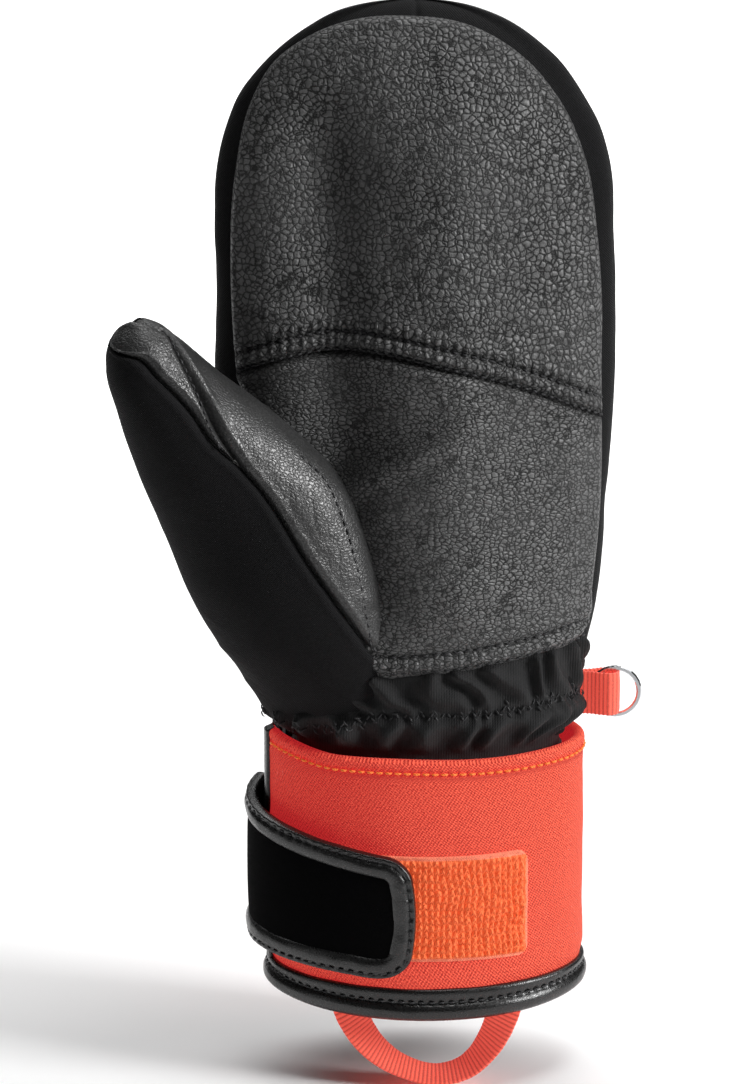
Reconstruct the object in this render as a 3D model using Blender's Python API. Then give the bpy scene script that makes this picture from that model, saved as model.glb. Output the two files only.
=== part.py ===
"""Left ski mitten, junior size: leather palm, softshell back, stretch cuff with a hook-and-loop tab.

The mitten stands upright on its own wrist line: +Z points to the fingertips, the palm faces -Y and
the thumb lies on the -X side. The origin is the centre of the cuff opening, in the plane of the hem.
Every soft layer is a closed volume minus a smaller one, cut into its sewn panels.
"""

import math

import bmesh
import bpy
import numpy as np
from mathutils import Vector

MM = 0.001

# ---- Driving dimensions ------------------------------------------------------------------------
GAP = 0.35 * MM                  # clearance between pieces that touch on the real mitten

# Hand
HAND_TOP = 236.0 * MM            # hem plane to fingertip
DOME_BASE = 190.0 * MM           # height where the fingertip dome starts
HAND_HALF_WIDTH = 46.4 * MM      # at the knuckles
HAND_SHIFT = -3.4 * MM           # the hand is set this far to the thumb side of the cuff
WRIST_HALF_WIDTH = 36.0 * MM     # at the gathered waist
WRIST_HEIGHT = 70.0 * MM         # height of the gathered waist
PALM_DEPTH = 22.0 * MM           # middle plane to palm at the knuckles
BACK_DEPTH = 23.0 * MM           # middle plane to back at the knuckles
HAND_FLOOR = 60.0 * MM           # lower edge of the hand's layers, tucked into the cuff

# Cuff
CUFF_HALF_WIDTH = 37.9 * MM
CUFF_HALF_DEPTH = 26.5 * MM
CUFF_HEIGHT = 64.5 * MM
CUFF_WALL = 2.6 * MM             # neoprene
SLIT_WIDTH = 5.0 * MM            # opening in the cuff on the thumb side
SLIT_Y = 0.5 * MM                # middle of the slit
GUSSET_WALL = 0.8 * MM           # stretch fabric behind the slit

# Layer thicknesses
SHELL_WALL = 1.2 * MM
INSULATION_WALL = 3.2 * MM
LINING_WALL = 1.0 * MM
LAYER_GAP = 0.5 * MM             # between nested layers, which are faceted differently
ELASTIC_HEIGHT = 6.0 * MM
ELASTIC_WALL = 0.9 * MM

# Palm panels
RIM_THUMB_SIDE = 3.4 * MM        # softshell that shows beside the palm leather
RIM_TOP = 3.2 * MM
RIM_OUTER_SIDE = 2.6 * MM
CREASE_THUMB_SIDE = 151.5 * MM   # finger crease seam: height at each side and in the middle
CREASE_MIDDLE = 158.5 * MM
CREASE_OUTER_SIDE = 140.5 * MM
HEEL_MIDDLE = 81.5 * MM          # lower edge of the palm leather
HEEL_OUTER_SIDE = 87.0 * MM

# Thumb
THUMB_THICKNESS = 1.0            # share of the plain pattern's thickness
THUMB_TIP_RADIUS = 2.2 * MM      # a layer's tube closes to its tip where it gets thinner than this

# Hem, slit and tab bindings
HEM_HEIGHT = 5.4 * MM
HEM_WALL = 2.3 * MM              # binding under the cuff's lower edge
HEM_BULGE = 1.3 * MM             # how far the hem binding stands out from the cuff
BINDING_WALL = 0.8 * MM
SLIT_BINDING_WIDTH = 3.6 * MM

# Closure
TAB_ROOT_HEIGHT = 36.0 * MM      # tab height where it leaves the cuff's edge
TAB_END_HEIGHT = 29.0 * MM       # tab height at the free end
TAB_ROOT_MIDDLE = 29.8 * MM
TAB_END_MIDDLE = 23.2 * MM
TAB_REACH = 56.0 * MM            # along the cuff from the hinge line to the free end
TAB_WALL = 2.0 * MM
TAB_BINDING_WIDTH = 5.2 * MM
TAB_BINDING_WALL = 3.2 * MM
TAB_CORNER = 7.0 * MM
HINGE_TURN = math.radians(163)   # the tab's hinge line, as an angle round the cuff from +X
ANCHOR_LENGTH = 18.0 * MM        # sewn part of the tab behind the hinge line
HOOK_LENGTH = 26.0 * MM
HOOK_WALL = 0.6 * MM
LOOP_PATCH_LOW = 12.3 * MM
LOOP_PATCH_HIGH = 37.6 * MM
LOOP_PATCH_START = 24.0 * MM     # along the cuff from the hinge line
LOOP_PATCH_END = 84.0 * MM
LOOP_PATCH_WALL = 0.6 * MM

# Ring and its webbing
RING_MIDDLE_HEIGHT = 70.9 * MM
RING_PIVOT_X = CUFF_HALF_WIDTH    # where the webbing leaves the waist seam
RING_SWING_X = RING_PIVOT_X + 1.5 * MM    # the wire that the ring swings on
RING_RADIUS = 5.8 * MM           # to the middle of the wire
RING_WIRE = 0.65 * MM            # wire radius
RING_TAB_ROOT_HEIGHT = 10.6 * MM
RING_TAB_END_HEIGHT = 9.2 * MM
RING_TAB_REACH = RING_PIVOT_X + 8.1 * MM    # x of the fold
RING_TAB_OPENING = 5.2 * MM      # free width inside the fold
WEBBING_WALL = 0.8 * MM

# Hanging loop
LOOP_HALF_SPAN = 18.8 * MM       # middle of each leg
LOOP_DROP = 19.5 * MM            # hem plane to the underside of the loop
LOOP_WIDTH = 7.6 * MM
LOOP_Y = -19.0 * MM              # just inside the palm side of the hem
LOOP_PIVOT_Z = -0.9 * MM

FAR = 150.0 * MM                # beyond every piece
THUMB_SIDE_LIMIT = -10.0 * MM   # cutters at the slit stop here, short of the little-finger side
SEGMENTS = 32                    # facets round the hand


# ---- Small tools -------------------------------------------------------------------------------
def clear_scene():
    for item in list(bpy.data.objects):
        bpy.data.objects.remove(item, do_unlink=True)


def make_material(name, colour, roughness, metallic=0.0):
    material = bpy.data.materials.new(name)
    material.use_nodes = True
    shader = material.node_tree.nodes["Principled BSDF"]
    shader.inputs["Base Color"].default_value = (*colour, 1.0)
    shader.inputs["Roughness"].default_value = roughness
    shader.inputs["Metallic"].default_value = metallic
    return material


def add_object(name, points, faces, material=None):
    """A mesh object from points and faces, with its faces turned outwards."""
    mesh = bpy.data.meshes.new(name)
    mesh.from_pydata([tuple(p) for p in points], [], faces)
    work = bmesh.new()
    work.from_mesh(mesh)
    bmesh.ops.recalc_face_normals(work, faces=work.faces)
    work.to_mesh(mesh)
    work.free()
    mesh.shade_smooth()
    mesh.set_sharp_from_angle(angle=math.radians(50))
    if material:
        mesh.materials.append(material)
    made = bpy.data.objects.new(name, mesh)
    bpy.context.collection.objects.link(made)
    return made


def as_cutter(made):
    made.hide_render = True
    made.display_type = "WIRE"
    return made


def cut(target, cutter, operation="DIFFERENCE", solver="EXACT"):
    step = target.modifiers.new(cutter.name, "BOOLEAN")
    step.operation = operation
    step.object = cutter
    step.solver = solver
    return target


def cut_layer(target, cutter, operation="DIFFERENCE"):
    """A cut in a thin curved layer, where the exact solver loses faces at shallow crossings."""
    return cut(target, cutter, operation, "MANIFOLD")


def smooth_line(points, count):
    """A Catmull-Rom curve through the points, with count samples spread evenly over its spans."""
    points = np.asarray(points, float)
    ends = np.vstack([2 * points[0] - points[1], points, 2 * points[-1] - points[-2]])
    place = np.linspace(0, len(points) - 1, count)
    span = np.minimum(place.astype(int), len(points) - 2)
    t = (place - span)[:, None]
    a, b, c, d = (ends[span + k] for k in range(4))
    return 0.5 * (2 * b + (c - a) * t + (2 * a - 5 * b + 4 * c - d) * t**2 + (3 * b - a - 3 * c + d) * t**3)


def smooth_value(height, knots, values):
    """Values read between knots with a smooth slope, held level past the ends."""
    knots = np.asarray(knots, float)
    values = np.asarray(values, float)
    slopes = np.gradient(values, knots)
    height = np.clip(height, knots[0], knots[-1])
    i = np.clip(np.searchsorted(knots, height) - 1, 0, len(knots) - 2)
    step = knots[i + 1] - knots[i]
    t = (height - knots[i]) / step
    return (
        (1 + 2 * t) * (1 - t) ** 2 * values[i]
        + t * (1 - t) ** 2 * step * slopes[i]
        + t**2 * (3 - 2 * t) * values[i + 1]
        + t**2 * (t - 1) * step * slopes[i + 1]
    )


def loft(name, rings, material=None, caps=(True, True)):
    """A closed body through rings of equal count; a ring of one point makes a pole."""
    points = []
    starts = []
    for ring in rings:
        starts.append(len(points))
        points.extend(ring)
    faces = []
    for k in range(len(rings) - 1):
        low, high = len(rings[k]), len(rings[k + 1])
        count = max(low, high)
        for j in range(count):
            a = starts[k] + j % low
            b = starts[k] + (j + 1) % low
            c = starts[k + 1] + (j + 1) % high
            d = starts[k + 1] + j % high
            corners = [a, b, c, d]
            faces.append([v for n, v in enumerate(corners) if v not in corners[:n]])
    if caps[0] and len(rings[0]) > 1:
        faces.append(list(range(starts[0], starts[0] + len(rings[0]))))
    if caps[1] and len(rings[-1]) > 1:
        faces.append(list(range(starts[-1], starts[-1] + len(rings[-1]))))
    return add_object(name, points, faces, material)


def closed_loft(rings):
    """Points and faces of rings of equal count, joined in turn and back to the first."""
    count = len(rings[0])
    points = [p for ring in rings for p in ring]
    faces = []
    for k in range(len(rings)):
        here, after = k * count, (k + 1) % len(rings) * count
        for j in range(count):
            beside = (j + 1) % count
            faces.append((here + j, here + beside, after + beside, after + j))
    return points, faces


def prism(name, outline, near, far):
    """The outline, given as (x, z) pairs, carried along Y from near to far."""
    low = [Vector((x, near, z)) for x, z in outline]
    high = [Vector((x, far, z)) for x, z in outline]
    return as_cutter(loft(name, [low, high]))


def box(name, low, high):
    outline = [(low[0], low[2]), (high[0], low[2]), (high[0], high[2]), (low[0], high[2])]
    return prism(name, outline, low[1], high[1])


# ---- Outer shapes ------------------------------------------------------------------------------
def hand_size(height):
    """Centre x, half width, palm depth and back depth of the hand below the dome."""
    wide = HAND_HALF_WIDTH
    waist = WRIST_HALF_WIDTH
    tucked = CUFF_HALF_WIDTH - CUFF_WALL - BINDING_WALL - 5 * GAP
    knots = [HAND_FLOOR, CUFF_HEIGHT + GAP, WRIST_HEIGHT, WRIST_HEIGHT + 8 * MM, WRIST_HEIGHT + 20 * MM,
             WRIST_HEIGHT + 48 * MM, WRIST_HEIGHT + 90 * MM, DOME_BASE]
    centre = HAND_SHIFT * smooth_value(height, knots, [0, 0, 0, 0.04, 0.18, 0.52, 0.78, 1.0])
    half = smooth_value(height, knots, [tucked - 0.4 * MM, tucked, waist - 0.2 * MM, waist + 0.9 * MM,
                                        0.63 * waist + 0.37 * wide, 0.24 * waist + 0.76 * wide,
                                        wide, wide - 0.6 * MM])
    palm = PALM_DEPTH * smooth_value(height, knots, [1.0, 1.01, 1.05, 1.08, 1.12, 1.06, 0.95, 0.8])
    back = BACK_DEPTH * smooth_value(height, knots, [1.0, 1.01, 1.05, 1.07, 1.10, 1.06, 0.96, 0.8])
    return centre, half, palm, back


def oval(centre, half, front, back, height, count=SEGMENTS):
    """A ring round Z: half an ellipse towards the palm and half towards the back."""
    ring = []
    for k in range(count):
        turn = 2 * math.pi * k / count
        depth = back if math.sin(turn) > 0 else front
        ring.append(Vector((centre + half * math.cos(turn), depth * math.sin(turn), height)))
    return ring


def hand_volume(name, inset, floor, count=SEGMENTS):
    """The hand's outer shape moved inwards by inset, open to nothing: a plain closed solid."""
    rings = []
    steps = np.array([-5.2, -2.6, 0, 3, 7, 13, 22, 34, 50, 68, 86, 104]) * MM + WRIST_HEIGHT
    heights = [floor] + [h for h in steps if floor + 2 * MM < h < DOME_BASE - 6 * MM] + [DOME_BASE]
    for height in heights:
        centre, half, palm, back = hand_size(height)
        rings.append(oval(centre, half - inset, palm - inset, back - inset, height, count))
    centre, half, palm, back = hand_size(DOME_BASE)
    rise = HAND_TOP - DOME_BASE - inset
    for turn in np.radians([12, 24, 36, 48, 60, 72, 82]):
        shrink = math.cos(turn) ** 0.96
        sizes = [(s - inset) * shrink for s in (half, palm, back)]
        rings.append(oval(centre, *sizes, DOME_BASE + rise * math.sin(turn), count))
    rings.append([Vector((centre, 0, HAND_TOP - inset))])
    return as_cutter(loft(name, rings))


# Thumb sections from the wrist to the tip: outer edge, edge beside the palm, and half thickness.
THUMB_SECTIONS = [
    ((-36.0, -2.0, 66.0), (-12.0, -17.0, 69.0), 5.0),
    ((-41.5, -3.0, 76.0), (-10.5, -20.5, 80.0), 9.0),
    ((-48.5, -5.0, 87.0), (-11.0, -22.0, 94.0), 12.5),
    ((-55.0, -8.5, 101.0), (-14.0, -22.0, 109.5), 14.5),
    ((-61.2, -13.5, 116.0), (-20.5, -21.5, 126.0), 14.5),
    ((-66.8, -19.0, 131.0), (-33.0, -22.5, 139.5), 13.5),
    ((-71.0, -24.0, 145.5), (-47.5, -25.0, 151.5), 11.5),
    ((-72.6, -27.5, 155.5), (-57.0, -28.0, 160.5), 8.7),
    ((-71.2, -29.0, 161.5), (-61.8, -29.0, 164.3), 5.4),
]
THUMB_TIP = (-66.8, -29.6, 166.6)


def thumb_volume(name, inset, count=20):
    """The thumb tube moved inwards by inset, from inside the wrist to its tip."""
    outer = smooth_line([section[0] for section in THUMB_SECTIONS], 14) * MM
    inner = smooth_line([section[1] for section in THUMB_SECTIONS], 14) * MM
    depths = smooth_line([[section[2]] for section in THUMB_SECTIONS], 14)[:, 0] * MM * THUMB_THICKNESS
    middles = (outer + inner) / 2
    climbs = np.gradient(middles, axis=0)
    rings = []
    for left, right, deep, middle, climb in zip(outer, inner, depths, middles, climbs):
        across = Vector(right - left) / 2
        wide = across.length - inset
        deep = deep - inset
        if min(wide, deep) < THUMB_TIP_RADIUS:
            continue
        across.normalize()
        out = across.cross(Vector(climb)).normalized()
        ring = []
        for k in range(count):
            turn = 2 * math.pi * k / count
            ring.append(Vector(middle) + across * wide * math.cos(turn) + out * deep * math.sin(turn))
        rings.append(ring)
        last = Vector(middle)
    tip = Vector(THUMB_TIP) * MM
    rings.append([tip - (tip - last).normalized() * inset])
    return as_cutter(loft(name, rings))


def cuff_size(height):
    return 0.0, CUFF_HALF_WIDTH, CUFF_HALF_DEPTH, CUFF_HALF_DEPTH


def band(name, profile, size_at, material=None, count=SEGMENTS):
    """A closed hoop round Z: the profile is a closed loop of (inset, height) pairs."""
    rings = []
    for inset, height in profile:
        centre, half, palm, back = size_at(height)
        rings.append(oval(centre, half - inset, palm - inset, back - inset, height, count))
    return add_object(name, *closed_loft(rings), material)


def hoop(name, outer, inner, low, high, size_at, material=None):
    """A band with a plain upright wall between two insets."""
    return band(name, [(outer, low), (outer, high), (inner, high), (inner, low)], size_at, material)


# ---- Seam lines, as heights over x -------------------------------------------------------------
def crease_height(x):
    knots = [-46 * MM, -34 * MM, -16 * MM, 4 * MM, 24 * MM, 42 * MM]
    low, mid, out = CREASE_THUMB_SIDE, CREASE_MIDDLE, CREASE_OUTER_SIDE
    return smooth_value(x, knots, [low, mid - 2 * MM, mid + 0.6 * MM, mid - 2.6 * MM,
                                   0.55 * mid + 0.45 * out, out])


def heel_height(x):
    rise = max(0.0, min(1.0, (x + 8 * MM) / (46 * MM)))
    return HEEL_MIDDLE + (HEEL_OUTER_SIDE - HEEL_MIDDLE) * rise**1.3


def palm_edge(grow=0.0, count=25):
    """The palm leather's outline from its outer lower corner over the top to the thumb side."""
    edge = []
    for height in np.linspace(HEEL_OUTER_SIDE, DOME_BASE, 12):
        centre, half, _, _ = hand_size(height)
        edge.append((centre + half - RIM_OUTER_SIDE + grow, height))
    centre, half, _, _ = hand_size(DOME_BASE)
    right = half - RIM_OUTER_SIDE + grow
    left = half - RIM_THUMB_SIDE + grow
    rise = HAND_TOP - DOME_BASE - RIM_TOP + grow
    for turn in np.linspace(0, math.pi, count)[1:-1]:
        side = right if turn < math.pi / 2 else left
        edge.append((centre + side * math.cos(turn), DOME_BASE + rise * math.sin(turn)))
    for height in np.linspace(DOME_BASE, CREASE_THUMB_SIDE - 6 * MM, 8):
        centre, half, _, _ = hand_size(height)
        edge.append((centre - half + RIM_THUMB_SIDE - grow, height))
    return edge


def heel_line(shift=0.0):
    return [(x, heel_height(x) + shift) for x in np.linspace(-36 * MM, 40 * MM, 14)]


def palm_outline(grow=0.0):
    """The whole leather palm; under the thumb it runs on inside the thumb's own shape."""
    edge = palm_edge(grow)
    bottom = [p for p in heel_line(-grow) if p[0] < edge[0][0] - 2 * MM]
    return edge + [(-34 * MM, CREASE_THUMB_SIDE - 22 * MM)] + bottom


def panel_outlines():
    """The palm outline parted at the finger crease: the finger panel and the heel panel."""
    outline = palm_outline()
    above = [p for p in outline if p[1] > crease_height(p[0]) + GAP]
    start = outline.index(above[0])
    lower = outline[start + len(above):] + outline[:start]
    inner, outer = above[-1][0] + 0.3 * MM, above[0][0] - 0.3 * MM
    crease = [(x, crease_height(x)) for x in np.linspace(inner, outer, 17)]
    fingers = above + [(x, z + GAP / 2) for x, z in crease]
    heel = lower + [(x, z - GAP / 2) for x, z in reversed(crease)]
    return fingers, heel


def thumb_seam(shift=0.0):
    """The thumb's softshell edge from the tip down to the wrist, moved to the right by shift."""
    points = [(-67.5, 168.0), (-66.4, 161.0), (-61.6, 155.8), (-54.9, 147.8), (-48.3, 138.5), (-41.5, 132.0),
              (-35.9, 124.6), (-29.1, 112.9), (-20.1, 98.7), (-10.9, 84.5), (-4.0, 74.0)]
    return [(x * MM + shift, z * MM) for x, z in smooth_line(points, 31)]


def strip_edge(shift=0.0):
    """The right edge of the leaf-shaped tip strip."""
    points = [(-62.5, 168.5), (-60.2, 164.0), (-56.6, 158.5), (-51.6, 149.7), (-47.0, 140.4), (-41.5, 132.0)]
    return [(x * MM + shift, z * MM) for x, z in smooth_line(points, 15)]


# ---- Materials ---------------------------------------------------------------------------------
def make_materials():
    return {
        "leather": make_material("palm_leather", (0.05, 0.05, 0.052), 0.42),
        "softshell": make_material("softshell", (0.012, 0.012, 0.014), 0.85),
        "twill": make_material("wrist_twill", (0.016, 0.016, 0.018), 0.8),
        "wadding": make_material("wadding", (0.75, 0.75, 0.72), 0.95),
        "lining": make_material("brushed_lining", (0.03, 0.03, 0.033), 0.95),
        "neoprene": make_material("red_neoprene", (0.82, 0.06, 0.035), 0.75),
        "binding": make_material("bound_edge", (0.015, 0.015, 0.017), 0.45),
        "loop": make_material("orange_loop", (0.85, 0.12, 0.05), 0.9),
        "webbing": make_material("red_webbing", (0.78, 0.06, 0.03), 0.7),
        "hook": make_material("hook_tape", (0.02, 0.02, 0.02), 0.7),
        "elastic": make_material("elastic", (0.02, 0.02, 0.02), 0.8),
        "steel": make_material("polished_steel", (0.62, 0.62, 0.63), 0.15, 1.0),
    }


def copy_of(source, name, material):
    """A new object on its own copy of a volume's mesh, ready to be cut."""
    mesh = source.data.copy()
    mesh.name = name
    mesh.materials.clear()
    mesh.materials.append(material)
    made = bpy.data.objects.new(name, mesh)
    bpy.context.collection.objects.link(made)
    return made


# ---- Hand and thumb ----------------------------------------------------------------------------
def make_hand(mats):
    far = 90 * MM
    shell_out = hand_volume("hand_outer_form", 0, HAND_FLOOR)
    shell_in = hand_volume("hand_shell_core", SHELL_WALL, HAND_FLOOR - 2 * MM)
    clear_hand = hand_volume("hand_clearance_form", -GAP, HAND_FLOOR - 2 * MM)
    thumb_out = thumb_volume("thumb_outer_form", 0)
    thumb_in = thumb_volume("thumb_shell_core", SHELL_WALL)

    finger_outline, heel_outline = panel_outlines()
    fingers = prism("finger_region", finger_outline, -far, -2 * MM)
    heel = prism("heel_region", heel_outline, -far, -2 * MM)
    palm_clear = prism("palm_region_clearance", palm_outline(GAP), -far, -1 * MM)
    wrist_top = [(x, z - 2 * GAP) for x, z in heel_line()]
    level = wrist_top[0][1]
    wrist_top = [(-60 * MM, level)] + wrist_top + [(60 * MM, wrist_top[-1][1])]
    hand_zone = prism("hand_zone", [(x, z + GAP) for x, z in wrist_top]
                      + [(60 * MM, 260 * MM), (-60 * MM, 260 * MM)], -far, far)
    wrist_zone = prism("wrist_zone", wrist_top + [(60 * MM, 40 * MM), (-60 * MM, 40 * MM)], -far, far)
    front_half = box("front_half", (-far, -far, 0.0), (far, -GAP / 2, 0.3))
    back_half = box("back_half", (-far, GAP / 2, 0.0), (far, far, 0.3))

    finger_panel = copy_of(shell_out, "palm_finger_panel", mats["leather"])
    heel_panel = copy_of(shell_out, "palm_heel_panel", mats["leather"])
    for panel, region in ((finger_panel, fingers), (heel_panel, heel)):
        cut_layer(panel, shell_in)
        cut_layer(panel, region, "INTERSECT")
        cut_layer(panel, thumb_out)

    back = copy_of(shell_out, "back_shell", mats["softshell"])
    cut_layer(back, shell_in)
    cut_layer(back, hand_zone, "INTERSECT")
    cut_layer(back, palm_clear)
    cut_layer(back, thumb_out)

    for name, half in (("wrist_palm_panel", front_half), ("wrist_back_panel", back_half)):
        panel = copy_of(shell_out, name, mats["twill"])
        cut_layer(panel, shell_in)
        cut_layer(panel, wrist_zone, "INTERSECT")
        cut_layer(panel, half, "INTERSECT")
        cut_layer(panel, thumb_out)

    seam = thumb_seam()
    strip = strip_edge()
    leather_zone = prism("thumb_leather_zone",
                         thumb_seam(GAP / 2) + [(60 * MM, 74 * MM), (60 * MM, 180 * MM)], -far, far)
    beyond = [(-12 * MM, 40 * MM), (-95 * MM, 40 * MM), (-95 * MM, 180 * MM)]
    shell_zone = prism("thumb_softshell_zone", thumb_seam(-GAP / 2) + beyond, -far, far)
    leaf = [p for p in seam if p[1] > strip[-1][1]]
    leaf_zone = prism("tip_strip_zone", leaf + strip[::-1], -far, -20 * MM)
    leaf_inside = prism("tip_strip_inside", [(x + GAP, z) for x, z in leaf] + strip_edge(-GAP)[::-1],
                        -far, -20 * MM)
    for name, zone, slot in (("thumb_palm_panel", leather_zone, "leather"),
                             ("thumb_back_panel", shell_zone, "softshell"),
                             ("thumb_tip_strip", leaf_inside, "leather")):
        panel = copy_of(thumb_out, name, mats[slot])
        cut_layer(panel, thumb_in)
        cut_layer(panel, clear_hand)
        cut_layer(panel, zone, "INTERSECT")
        if name == "thumb_palm_panel":
            cut_layer(panel, leaf_zone)


def make_insulation(mats):
    far = 90 * MM
    outer = SHELL_WALL + LAYER_GAP
    inner = outer + INSULATION_WALL
    floor = HEEL_OUTER_SIDE - 2 * MM
    hand_out = hand_volume("insulation_outer_form", outer, floor)
    hand_in = hand_volume("insulation_core", inner, floor - 4 * MM)
    thumb_out = thumb_volume("thumb_insulation_outer_form", outer)
    thumb_in = thumb_volume("thumb_insulation_core", inner)
    passage = thumb_volume("thumb_passage_form", outer - GAP)
    clear_hand = hand_volume("insulation_clearance_form", outer - GAP, floor - 4 * MM)
    for name, low, high in (("palm_insulation", -far, -GAP / 2), ("back_insulation", GAP / 2, far)):
        layer = copy_of(hand_out, name, mats["wadding"])
        cut_layer(layer, hand_in)
        cut_layer(layer, box(name + "_half", (-far, low, 0.0), (far, high, 0.3)), "INTERSECT")
        cut_layer(layer, passage)
    layer = copy_of(thumb_out, "thumb_insulation", mats["wadding"])
    cut_layer(layer, thumb_in)
    cut_layer(layer, clear_hand)
    cut_layer(layer, box("thumb_insulation_zone", (-far, -far, floor), (far, far, 0.3)), "INTERSECT")


def make_lining(mats):
    outer = SHELL_WALL + INSULATION_WALL + 2 * LAYER_GAP
    inner = outer + LINING_WALL
    hand_out = hand_volume("lining_outer_form", outer, HAND_FLOOR + 2 * MM, 26)
    hand_in = hand_volume("lining_core", inner, HAND_FLOOR - 2 * MM, 26)
    thumb_out = thumb_volume("thumb_lining_outer_form", outer, 16)
    thumb_in = thumb_volume("thumb_lining_core", inner, 16)
    passage = thumb_volume("lining_passage_form", outer - GAP)
    clear_hand = hand_volume("lining_clearance_form", outer - GAP, HAND_FLOOR - 2 * MM)
    lining = copy_of(hand_out, "hand_lining", mats["lining"])
    cut_layer(lining, hand_in)
    cut_layer(lining, passage)
    lining = copy_of(thumb_out, "thumb_lining", mats["lining"])
    cut_layer(lining, clear_hand)
    cut_layer(lining, thumb_in)


def make_elastic(mats):
    """The band sewn inside the waist, between shell and lining."""
    outer = SHELL_WALL + LAYER_GAP
    low, middle, high = (WRIST_HEIGHT + ELASTIC_HEIGHT * share for share in (-0.5, 0, 0.5))
    inner = outer + ELASTIC_WALL
    profile = [(outer, low), (outer, middle), (outer, high), (inner, high), (inner, middle), (inner, low)]
    band("wrist_elastic", profile, hand_size, mats["elastic"])


# ---- Cuff --------------------------------------------------------------------------------------
def make_cuff(mats):
    floor = HEM_WALL + GAP
    gusset_face = CUFF_WALL + BINDING_WALL + 2 * GAP
    lining_face = gusset_face + GUSSET_WALL + GAP
    lining_back = lining_face + LINING_WALL
    sleeve = hoop("cuff_sleeve", 0, CUFF_WALL, floor, CUFF_HEIGHT, cuff_size, mats["neoprene"])
    slit = box("cuff_slit", (-FAR, SLIT_Y - SLIT_WIDTH / 2, HEM_HEIGHT + GAP),
               (THUMB_SIDE_LIMIT, SLIT_Y + SLIT_WIDTH / 2, FAR))
    cut(sleeve, slit)

    gusset = hoop("cuff_gusset", gusset_face, gusset_face + GUSSET_WALL, floor, HAND_FLOOR - 1 * MM,
                  cuff_size, mats["lining"])
    reach = SLIT_WIDTH / 2 + SLIT_BINDING_WIDTH + 3 * MM
    gusset_zone = box("gusset_zone", (-FAR, SLIT_Y - reach, 0), (THUMB_SIDE_LIMIT, SLIT_Y + reach, FAR))
    cut(gusset, gusset_zone, "INTERSECT")

    hoop("cuff_lining", lining_face, lining_back, floor, HAND_FLOOR - GAP - 1 * MM, cuff_size, mats["lining"])

    inside = lining_back + GAP
    hem = [(-0.5 * HEM_BULGE, 0), (-HEM_BULGE, 0.2 * HEM_HEIGHT), (-HEM_BULGE, 0.85 * HEM_HEIGHT),
           (-0.7 * HEM_BULGE, HEM_HEIGHT), (-GAP, HEM_HEIGHT), (-GAP, HEM_WALL), (inside, HEM_WALL),
           (inside, HEM_HEIGHT), (inside + BINDING_WALL, HEM_HEIGHT),
           (inside + BINDING_WALL, 0.2 * HEM_HEIGHT),
           (inside + 0.5 * BINDING_WALL, 0)]
    band("cuff_hem_binding", hem, cuff_size, mats["binding"])

    low = HEM_HEIGHT + 2 * GAP
    for name, side in (("slit_binding_front", -1), ("slit_binding_back", 1)):
        strip = hoop(name, -BINDING_WALL - GAP, CUFF_WALL + BINDING_WALL + GAP, low, CUFF_HEIGHT,
                     cuff_size, mats["binding"])
        edge = SLIT_Y + side * SLIT_WIDTH / 2
        near = edge - side * (BINDING_WALL + GAP)
        away = edge + side * SLIT_BINDING_WIDTH
        zone = box(name + "_zone", (-FAR, min(near, away), 0), (THUMB_SIDE_LIMIT, max(near, away), FAR))
        cut(strip, zone, "INTERSECT")
        channel = hoop(name + "_channel", -GAP, CUFF_WALL + GAP, 0, 2 * CUFF_HEIGHT, cuff_size)
        start = edge - side * GAP
        end = edge + side * FAR
        channel_zone = box(name + "_channel_zone", (-FAR, min(start, end), 0),
                           (THUMB_SIDE_LIMIT, max(start, end), FAR))
        cut(channel, channel_zone, "INTERSECT")
        cut(strip, as_cutter(channel))


# ---- Closure -----------------------------------------------------------------------------------
def cuff_arc(offset):
    """Distance round the cuff from the tab's hinge line, growing towards the palm, and the angle there."""
    turns = np.linspace(HINGE_TURN - math.pi / 2, HINGE_TURN + math.pi, 721)
    x = (CUFF_HALF_WIDTH + offset) * np.cos(turns)
    y = (CUFF_HALF_DEPTH + offset) * np.sin(turns)
    steps = np.hypot(np.diff(x), np.diff(y))
    lengths = np.concatenate([[0], np.cumsum(steps)])
    return lengths - np.interp(HINGE_TURN, turns, lengths), turns


def arc_point(distance, offset, height):
    lengths, turns = cuff_arc(0)
    turn = np.interp(distance, lengths, turns)
    x = (CUFF_HALF_WIDTH + offset) * math.cos(turn)
    y = (CUFF_HALF_DEPTH + offset) * math.sin(turn)
    return Vector((x, y, height))


def wrapped_strip(name, start, end, low_edge, high_edge, corner, inner, outer, material=None):
    """A strip that follows the cuff from start to end, with round corners at its end."""
    plain = np.linspace(start, end - corner, 12)
    round_part = end - corner + corner * np.sin(np.radians([18, 36, 54, 72, 90]))
    rings = []
    for distance in np.concatenate([plain, round_part]):
        past = max(0.0, distance - (end - corner))
        trim = corner - math.sqrt(max(0.0, corner**2 - past**2))
        low, high = low_edge(distance) + trim, high_edge(distance) - trim
        rings.append([arc_point(distance, inner, low), arc_point(distance, inner, high),
                      arc_point(distance, outer, high), arc_point(distance, outer, low)])
    return loft(name, rings, material)


def tab_edges(shrink):
    def along(distance):
        share = distance / TAB_REACH
        middle = TAB_ROOT_MIDDLE + (TAB_END_MIDDLE - TAB_ROOT_MIDDLE) * share
        half = (TAB_ROOT_HEIGHT + (TAB_END_HEIGHT - TAB_ROOT_HEIGHT) * share) / 2 - shrink
        return middle, half
    return (lambda d: along(d)[0] - along(d)[1]), (lambda d: along(d)[0] + along(d)[1])


def place_on_axis(made, pivot):
    """Moves the object's origin to the pivot and leaves its shape where it is."""
    for vertex in made.data.vertices:
        vertex.co -= pivot
    made.location = pivot


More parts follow.
